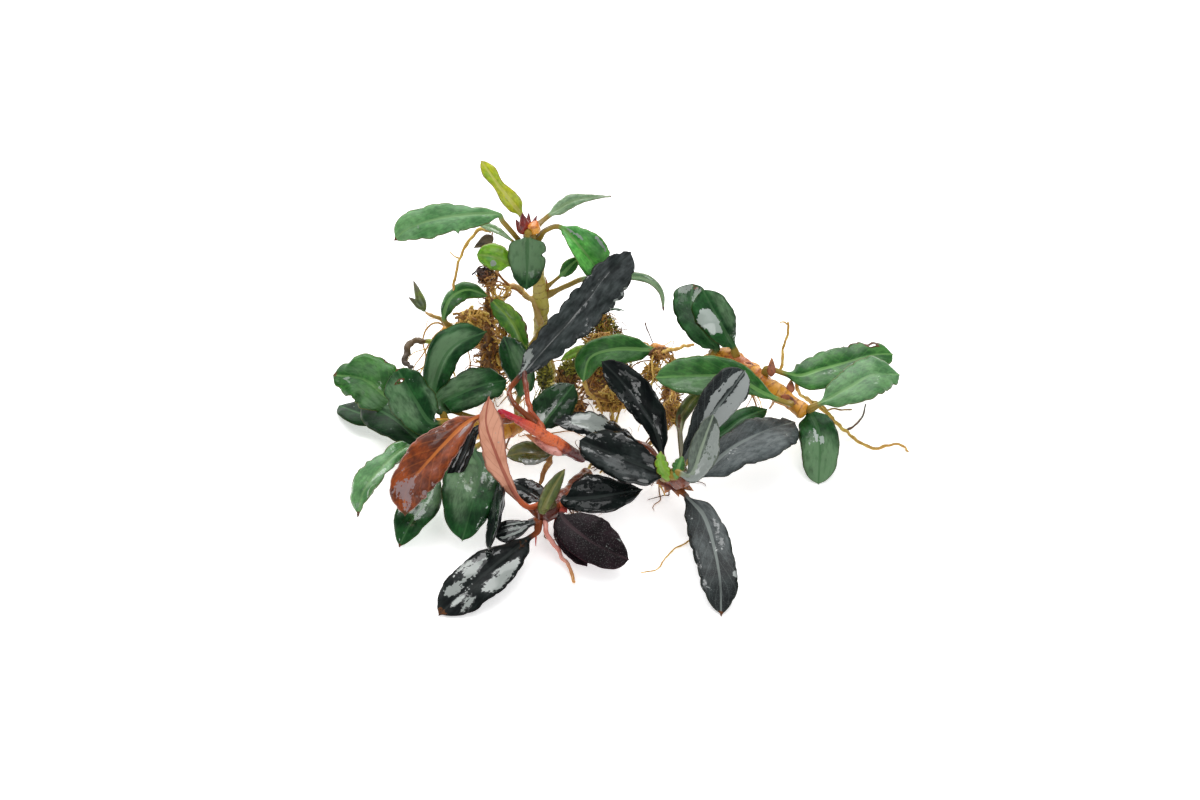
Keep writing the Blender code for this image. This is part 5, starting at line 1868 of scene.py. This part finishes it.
# The leaves of the bare rhizome at the right, and the curled one on the root mass
RIGHT_ROSETTE = Rosette("right", [
    Leaf("right_long", GREEN, RIGHT, 0.88,
         [(33.8, 18.5, 19), (27.1, 22.1, 23), (18.7, 22.6, 25.5), (7.7, 22.1, 26.5)], (0, -0.5, 0.87),
         (1.6, 4.6, 5.4, 4.2), (2.4, 4.4, 5.2, 4.4), via=[(39.5, 16.2, 15)], tip=0.5, bare=0.6,
         scallops=(8, 0.2), tone=0.84, film=0.06, films=(Mark(0.75, 0.5, 0.2, 0.4, 0.4),),
         painted_sheens=(Mark(0.6, 0.5, 0.45, 0.5, 0.65),)),
    Leaf("right_upper", DEEP_GREEN, RIGHT, 0.34, [(26.8, 29.9, 19.6), (24, 34.8, 25), (19.4, 43.7, 31)],
         (0, -0.4, 0.9), (2.6, 4.4, 5.2, 4.6), (2.6, 4.2, 4.6, 3.8), bare=0.6, tone=1.15, film=0.1,
         films=(Mark(0.5, 0.45, 0.2, 0.45, 0.9),), painted_sheens=(Mark(0.6, -0.6, 0.35, 0.35, 0.6),),
         painted_reflections=(Mark(0.5, 0.45, 0.2, 0.42, 1),)),
    Leaf("right_behind", DEEP_GREEN, RIGHT, 0.2,
         [(22.8, 29.6, 18), (19.8, 33.4, 20.5), (17, 39.5, 23), (17.2, 45.2, 25)], (0, -0.5, 0.87),
         (3.2, 4.6, 4.8, 4.4), (2.6, 3.8, 4.4, 4.4), cup=0.15, tip=0.4, bare=0.35, scallops=(5, 0.4),
         tone=1.2, film=0.12, painted_sheen=0.15, films=(Mark(0.85, 0, 0.15, 1, 0.45),),
         wilts=(Mark(0.95, -0.3, 0.05, 0.3, 0.6),)),
    Leaf("right_far", GREEN, RIGHT, 0.6,
         [(42.2, 22.6, 15.5), (48.7, 24.2, 13.5), (55.9, 26.2, 11), (61.9, 27.8, 9), (66.3, 27.9, 7)],
         (0, -0.35, 0.93), (3.2, 4.2, 4.4, 4.2), (4.6, 5.6, 5.2, 3.6), via=[(35.6, 24.4, 17.5)], tip=0.35,
         bare=0.6, scallops=(7, 0.35), tone=0.9, film=0.08, painted_sheens=(Mark(0.5, -0.5, 0.45, 0.4, 0.4),),
         wilts=(Mark(0.8, 0.98, 0.2, 0.14, 0.8),), holes=(Mark(0.86, 0.72, 0.035, 0.12),),
         bites=(Bite(Side.LEFT, 0.86, 0.8, 0.03), Bite(Side.LEFT, 0.7, 0.5, 0.02))),
    Leaf("right_end", SATIN_GREEN, RIGHT, 0.98,
         [(48.6, 16.3, 13.5), (54.7, 19.7, 16), (60.7, 22.8, 16), (67.4, 22.9, 13)], (0, -0.3, 0.95),
         (3.2, 4.4, 4.8, 4.4), (3.2, 5, 5.2, 3.6), tip=0.6, bare=0.6, scallops=(7, 0.3), tone=0.82, film=0.1,
         bites=(Bite(Side.RIGHT, 0.86, 0.6, 0.03),)),
    Leaf("right_down", DEEP_GREEN, RIGHT, 0.94, [(45.8, 13, 8.4), (47.7, 7.2, 6.5), (47.3, -3.6, 0.1)],
         (0, -0.3, 0.95), (3.8, 4.8, 4.7, 3.9), (4, 4.8, 4.7, 4), tip=0.5, bare=0.3, tone=1.1,
         films=(Mark(0.42, -0.42, 0.1, 0.34, 0.8),), painted_sheens=(Mark(0.82, 0, 0.42, 1.6, 0.9),),
         painted_reflections=(Mark(0.42, -0.45, 0.12, 0.5, 0.48), Mark(0.47, 0.12, 0.06, 0.14, 0.9))),
    Leaf("middle_curled", GREEN, MIDDLE, 0.95,
         [(6.6, 28.8, 24.6), (-1.5, 29, 27), (-7.6, 26.9, 26.4), (-9.4, 21, 22.5)], (0, -0.6, 0.8),
         (2.8, 4, 3.8, 3), (2.8, 3.8, 3.6, 3.2), tip=0.6, bare=0.2, tone=0.86, film=0.08,
         painted_sheens=(Mark(0.4, 0.4, 0.3, 0.4, 0.4),), wilts=(Mark(1, 0.5, 0.3, 0.6, 0.3),)),
    Leaf("middle_light", FRESH_GREEN, MIDDLE, 0.9, [(-9, 28.9, 22), (-11.8, 28, 21.4), (-14.8, 26.3, 20)],
         (0, -0.6, 0.8), (1, 1.4, 1.4, 1), via=[(2, 30, 24.4), (-4, 29.8, 23.4)], tone=1.5, in_frame=False),
])

MASSES = (
    Mass("root_mass", roots=260, hairs=620, moss=700, seed=11),
    Mass("root_mat", roots=100, hairs=260, lumps=0.05, seed=12),
    Mass("root_clump_right", roots=100, hairs=240, seed=13),
    Mass("root_clump_left", roots=200, hairs=300, core_share=0.42, lumps=0.09, seed=14),
)
TANGLES = (
    Tangle("tangle_crown", BROWN_ROOTS, (-32.2, 46.2, 37), (3.8, 2.6, 2.8), 36, 0.22, seed=31,
           feet=((-32.4, 43.5, 31.9),)),
    Tangle("tangle_crown_dark", DARK_ROOTS, (-33.4, 47.2, 38), (2.8, 2, 2), 40, 0.26, seed=30),
    Tangle("tangle_crown_pale", GOLDEN_ROOTS, (-29.6, 43, 33.6), (3.4, 2.4, 3.4), 16, 0.26,
           Growth(0.8, 12, 0.6, 0.1), 32),
    Tangle("tangle_rear", GOLDEN_ROOTS, (-36, 36.2, 28), (5.6, 3, 4), 90, 0.3, seed=33,
           feet=((-33.1, 37.3, 25.4),)),
    Tangle("tangle_stem", GOLDEN_ROOTS, (-27.8, 34, 24), (4.4, 3, 5), 30, 0.28, seed=34,
           feet=((-30.3, 33.3, 21.1),)),
    Tangle("moss_stem", MOSS, (-18.6, 22.6, 18), (2.3, 2.2, 4.4), 330, 0.2, Growth(0.4, 7, 1, 0), 35,
           feet=((-21, 13.7, 7.5), (-19.7, 30.5, 18.3))),
    Tangle("tangle_dark", FELT, (-13.4, 21.8, 15.5), (3.3, 2.8, 5.4), 200, 0.28, Growth(0.5, 12, 1, 0), 36,
           feet=((-17.3, 14.9, 5.9), (-7, 23.2, 11.6))),
    Tangle("moss_middle", MOSS, (-12.2, 24.6, 19.5), (3, 2, 3), 160, 0.18, Growth(0.4, 7, 1, 0), 37,
           feet=((-7.7, 27.5, 15.4),)),
    Tangle("tangle_middle", GOLDEN_ROOTS, (7.4, 23.4, 20.5), (3.8, 2.6, 3.2), 46, 0.2, seed=38,
           feet=((9, 27.4, 22.3),)),
    Tangle("tangle_right", GOLDEN_ROOTS, (12.2, 13.6, 12), (2.6, 2.4, 5.2), 60, 0.24, seed=39,
           feet=((5, 5, 1.3), (12, 19.4, 9.7))),
    Tangle("tangle_top", GOLDEN_ROOTS, (-5.2, 31.4, 27), (5, 2.4, 2), 60, 0.2, seed=40,
           feet=((6.5, 29.5, 24.3), (-3.9, 31.8, 20))),
    Tangle("tangle_front", GOLDEN_ROOTS, (-2.4, 16.8, 11.5), (6.2, 3.4, 4.6), 60, 0.3, seed=41,
           feet=((-2.5, 8.2, 4), (-3.4, 19.1, 7.7))),
    Tangle("tangle_low", BROWN_ROOTS, (-11.6, 14.6, 8.4), (4.6, 3.4, 3.6), 46, 0.24, seed=43,
           feet=((-17.3, 14.9, 5.9), (-7, 23.2, 11.6))),
    Tangle("tangle_rhizome", BROWN_ROOTS, (9.2, 28, 24.2), (3.8, 2, 1.6), 50, 0.2, seed=42),
)
FREE_ROOTS = (
    Thread("root_right", GOLDEN_ROOTS,
           [(44.5, 17.5, 6), (49.7, 13.7, 4), (54.5, 8.9, 2.2), (60.5, 5.3, 1.2), (66.6, 6.2, 0.7),
            (69.5, 4.3, 0.4)], 0.55, in_frame=True),
    Thread("root_upright", GOLDEN_ROOTS,
           [(38.2, 23, 15.2), (38.8, 26.6, 18.4), (39, 29.6, 21), (40, 32.4, 24.4), (40.1, 35.8, 27.8)],
           0.46, in_frame=True),
    Thread("root_upright_branch", GOLDEN_ROOTS, [(39.9, 35, 27), (39, 35.6, 27.6), (38, 35.5, 27.6)], 0.26),
    Thread("root_yellow", GOLDEN_ROOTS,
           [(42.2, 22.1, 14.4), (42.4, 19.6, 11.6), (44.4, 17.4, 7.6), (47.8, 15.9, 4.6), (50, 13.9, 3.4)],
           0.5),
    Thread("root_branch_upper", BROWN_ROOTS,
           [(49, 14.1, 4), (51.4, 14.7, 3.2), (53.4, 14.4, 2.8), (55.9, 14.6, 2.4)], 0.28),
    Thread("root_branch_red", DARK_ROOTS,
           [(53.8, 9.2, 2.2), (56.4, 10.6, 2.4), (58.2, 12.6, 2.8), (59.4, 15.8, 4)], 0.3),
    Thread("root_under_rhizome", BROWN_ROOTS, [(37.2, 18.6, 11.6), (36.9, 16.6, 7.6), (35.8, 14.6, 2.4)],
           0.42),
    Thread("root_loop", GOLDEN_ROOTS,
           [(-31.4, 57.6, 47), (-34.4, 57.9, 46.4), (-37.4, 54.4, 43.6), (-39.4, 50.2, 40),
            (-40.6, 45.2, 35.6), (-40.7, 43.2, 33)], 0.5),
    Thread("root_loop_branch", GOLDEN_ROOTS, [(-39, 51, 40.6), (-40.6, 51.6, 41), (-41.6, 52.6, 41.6)], 0.22),
    Thread("root_crown_link", BROWN_ROOTS,
           [(-20.4, 39.6, 28.6), (-24, 42.4, 31.6), (-28.4, 45.4, 35), (-31.6, 51, 40.6),
            (-31.2, 57.4, 46.8)], 0.42),
    Thread("root_top", GOLDEN_ROOTS,
           [(7.4, 28.2, 24.6), (10.4, 28.4, 24.8), (13.6, 29.4, 24), (17.4, 30.2, 22)], 0.62),
    Thread("root_hanging", GOLDEN_ROOTS,
           [(-9.2, 21.4, 20.2), (-8.2, 18.8, 17), (-5.8, 16.4, 13.6), (-4.6, 13.2, 9)], 0.55),
    Thread("root_thin_dark", DARK_ROOTS, [(5.6, 35.6, 30), (6.4, 33, 28.2), (7.6, 30.4, 26)], 0.2),
    Thread("root_olive", BROWN_ROOTS, [(-16.4, 4.4, 12), (-18.2, 0.8, 8), (-19.8, -3.4, 5.6)], 1),
    Thread("root_floor", GOLDEN_ROOTS,
           [(13, -3.4, 9.6), (15.2, -6.6, 7.2), (17.4, -11.4, 3), (17, -15.6, 0.7), (15.6, -17.2, 0.5),
            (13.2, -18.4, 0.4), (10.6, -20.4, 0.4), (8.4, -23.4, 0.4), (4.3, -24.3, 0.4)], 0.27),
    Thread("root_bract", GOLDEN_ROOTS, [(8.8, -1.6, 9), (9.4, -4, 6), (10.4, -6.2, 3.4)], 0.28),
)


@dataclass
class RootWork:
    """The root masses, the tangles between the stems and the free roots."""

    parts: tuple[Mass | Tangle | Thread, ...] = (*MASSES, *TANGLES, *FREE_ROOTS)

    def build(self) -> None:
        """Makes all of them."""
        for part in self.parts:
            part.build()


STIPULE_TIPS = ((17.2, -5, 8.4), (16.6, -2.4, 10.6), (13.6, -6.4, 7.4), (10.2, -5.6, 7.2), (8, -3.2, 8.4),
                (15.6, -4.6, 9.8))
RHIZOME_SCALES = (
    ((24.8, 28.6, 17), (28.8, 27.4, 16.6)), ((29.6, 25.6, 16.6), (33, 23.6, 16)),
    ((33, 20.6, 15.8), (36.6, 16.4, 13.6)), ((38.4, 17.8, 13.8), (43, 15.4, 12)),
    ((36, 22.4, 17.4), (36.2, 27.2, 21)), ((40.6, 18.4, 13.2), (40.9, 21.8, 14.6)),
)
BUDS = (
    Bud("bud_crown_spike", DARK_RED, (-23, 56.4, 50.4), (-24, 61.8, 56), 1.45),
    Bud("scale_crown_left", DARK_RED, (-23.8, 56.6, 50.6), (-25.6, 60.4, 53.4), 0.85, 0.5),
    Bud("scale_crown_middle", DARK_RED, (-22.6, 57, 50.8), (-22.4, 62, 54.4), 0.8, 0.5, seed=4),
    Bud("scale_crown_right", DARK_RED, (-22.2, 57, 50.8), (-20.4, 61.4, 53.6), 0.7, 0.5, seed=5),
    Bud("bud_crown_orange", ORANGE_SKIN, (-21.8, 56.6, 50.8), (-20.4, 60, 54.2), 1.75, fullest=0.5),
    Bud("scale_stem_red", SCALE_SKIN, (-18.4, 41, 30.6), (-18.4, 46.6, 36), 0.9, 0.6),
    Bud("scale_stem_dark", DEAD_SKIN, (-20, 41, 31), (-20.7, 45.4, 35), 0.8, 0.6),
    Bud("scale_root_loop", DEAD_SKIN, (-31, 56.2, 46), (-35.8, 53.4, 44.2), 1.35, 0.45, hollow=0.5),
    Bud("bud_left", BUD_GREEN, (-47.8, 38.2, 23.4), (-50.6, 46, 29), 1.15),
    Bud("bract_left", BUD_GREEN, (-47.6, 38.8, 24), (-51.8, 41.8, 26.4), 0.95, 0.45, seed=6),
    Bud("scale_red_base", RED_SKIN, (-14.9, -6.4, 9.4), (-13.2, -10.2, 8), 1.2, 0.7),
    Bud("scale_shoot_upper", SALMON_SKIN, (-18.6, 8.4, 17.4), (-22.6, 14.4, 21.6), 1.3, 0.5),
    Bud("scale_shoot_lower", PINK_SKIN, (-14.4, 3.6, 14.6), (-23.6, 8.8, 18.4), 1.15, 0.5),
    *(Bud(f"stipule_{i}", SCALE_SKIN, (12, -2, 10.4), tip, 1.25, 0.4, hollow=0.3, seed=i)
      for i, tip in enumerate(STIPULE_TIPS)),
    *(Bud(f"scale_rhizome_{i}", SCALE_SKIN, foot, tip, 1, 0.4, hollow=0.3, seed=i)
      for i, (foot, tip) in enumerate(RHIZOME_SCALES)),
)
STALKS = (
    Thread("stalk_bud_left", TAN_SKIN,
           [(-42.4, 33.6, 19.2), (-43.4, 35.8, 20.8), (-45.6, 36.8, 22.2), (-47.8, 38.4, 23.6)], 0.66),
    Thread("stalk_cut_crown", TAN_SKIN,
           [(-19.8, 34.6, 24.4), (-20.6, 38.4, 28.4), (-22.6, 42.2, 31.6), (-25.6, 43.9, 33),
            (-28.6, 44.4, 33.2)], 0.85, end=0.9),
    Thread("stalk_dead_left", WITHERED_SKIN,
           [(-42.6, 31.6, 18.6), (-45.8, 30.9, 19.6), (-48.5, 31.3, 20.4), (-50.9, 30.7, 20),
            (-52.2, 28.3, 18.4), (-52.3, 25.9, 17), (-51, 24.2, 16)], 0.95, end=1, flat=0.7, knots=0.35),
    Thread("stalk_salmon", SALMON_SKIN,
           [(-18.6, 9.4, 18.6), (-20.4, 11.9, 21), (-22, 14.9, 23.6), (-22.9, 18.4, 26.2), (-23, 21.4, 28.2),
            (-23.6, 24, 29.4)], 0.72, end=0.9, knots=0.08),
    Thread("stalk_pink", PINK_SKIN,
           [(-18.6, -11.6, 8), (-17.6, -15.8, 5.4), (-14.8, -19.6, 3.2), (-12.4, -23.2, 1.6),
            (-11.3, -26.6, 0.7)], 0.62, end=0.7, knots=0.1),
    Thread("spike_crimson", RED_SKIN, [(-20, -11, 7.6), (-20.4, -14.6, 5.2), (-20.6, -18, 3.2)], 0.5, 0.2),
)


@dataclass
class SmallPieces:
    """Buds, scales and cut stalks, too small for the frame."""

    parts: tuple[Bud | Thread, ...] = (*BUDS, *STALKS)

    def build(self) -> None:
        """Makes all of them."""
        for part in self.parts:
            part.build()


@dataclass(frozen=True)
class Softbox:
    """A soft rectangular light: where it stands, how big it is and how bright."""

    name: str
    where: Place
    size: tuple[float, float]
    radiance: float

    def build(self, target: Vector) -> None:
        """Sets the light up.

        Args:
            target: what it faces, in millimetres.
        """
        lamp = bpy.data.lights.new(self.name, "AREA")
        lamp.shape = "RECTANGLE"
        lamp.size, lamp.size_y = (side * MM for side in self.size)
        lamp.energy = self.radiance * math.pi * lamp.size * lamp.size_y
        made = shown(self.name, lamp)
        made.location = Vector(self.where) * MM
        away = Vector(self.where) - target
        made.rotation_euler = away.to_track_quat("Z", "Y").to_euler()


@dataclass
class Studio:
    """The pale floor, the soft lights and the camera, in millimetres."""

    target: Place = (-5.28, 7.8, 21.0)
    distance: float = 2400.0
    lens: float = 300.0
    sensor: float = 36.0
    sight: float = 20000.0
    floor_half: float = 2600.0
    air: Colour = (0.97, 0.98, 1.0)
    air_strength: float = 0.36
    lights: tuple[Softbox, ...] = (
        Softbox("softbox_back", (-150, 950, 950), (1800, 1300), 3.5),
        Softbox("overhead", (0, 50, 1500), (1500, 1100), 1.0),
        Softbox("fill_front", (420, -950, 1050), (700, 600), 3.2),
    )

    def floor(self) -> None:
        """A wide pale floor just under the clump."""
        mesh = bpy.data.meshes.new("floor")
        half = self.floor_half * MM
        corners = [(-half, -half, 0), (half, -half, 0), (half, half, 0), (-half, half, 0)]
        mesh.from_pydata(corners, [], [(0, 1, 2, 3)])
        mesh.materials.append(PALETTE.of(FloorFinish()))
        floor = shown("floor", mesh)

    def camera(self) -> None:
        """A long lens from the front, 37 degrees above the ground."""
        lens = bpy.data.cameras.new("camera")
        lens.lens = self.lens
        lens.sensor_width = self.sensor
        lens.clip_end = self.sight * MM
        toward = Vector((0.0, -LOOK_LEVEL, LOOK_DOWN))
        up = Vector((0.0, LOOK_DOWN, LOOK_LEVEL))
        turn = Matrix((Vector((1, 0, 0)), up, toward)).transposed().to_4x4()
        made = shown("camera", lens)
        made.matrix_world = Matrix.Translation((Vector(self.target) + self.distance * toward) * MM) @ turn
        bpy.context.scene.camera = made

    def world(self) -> None:
        """An even dim light from all round."""
        world = bpy.data.worlds.new("studio")
        world.use_nodes = True
        back = world.node_tree.nodes["Background"]
        back.inputs["Color"].default_value = (*self.air, 1.0)
        back.inputs["Strength"].default_value = self.air_strength
        bpy.context.scene.world = world
        bpy.context.scene.view_settings.view_transform = "Standard"

    def build(self) -> None:
        """Sets the whole studio up."""
        self.floor()
        for light in self.lights:
            light.build(Vector(self.target))
        self.camera()
        self.world()


def main() -> None:
    """Builds the clump and its studio."""
    logging.basicConfig(level=logging.INFO, format="%(message)s")
    Studio().build()
    Rhizomes().build()
    for rosette in (CROWN_ROSETTE, REAR_LEFT_ROSETTE, LEFT_ROSETTE, RED_ROSETTE, FRONT_ROSETTE,
                    CENTRE_ROSETTE, RIGHT_ROSETTE):
        rosette.build()
    RootWork().build()
    SmallPieces().build()


if __name__ == "__main__":
    main()
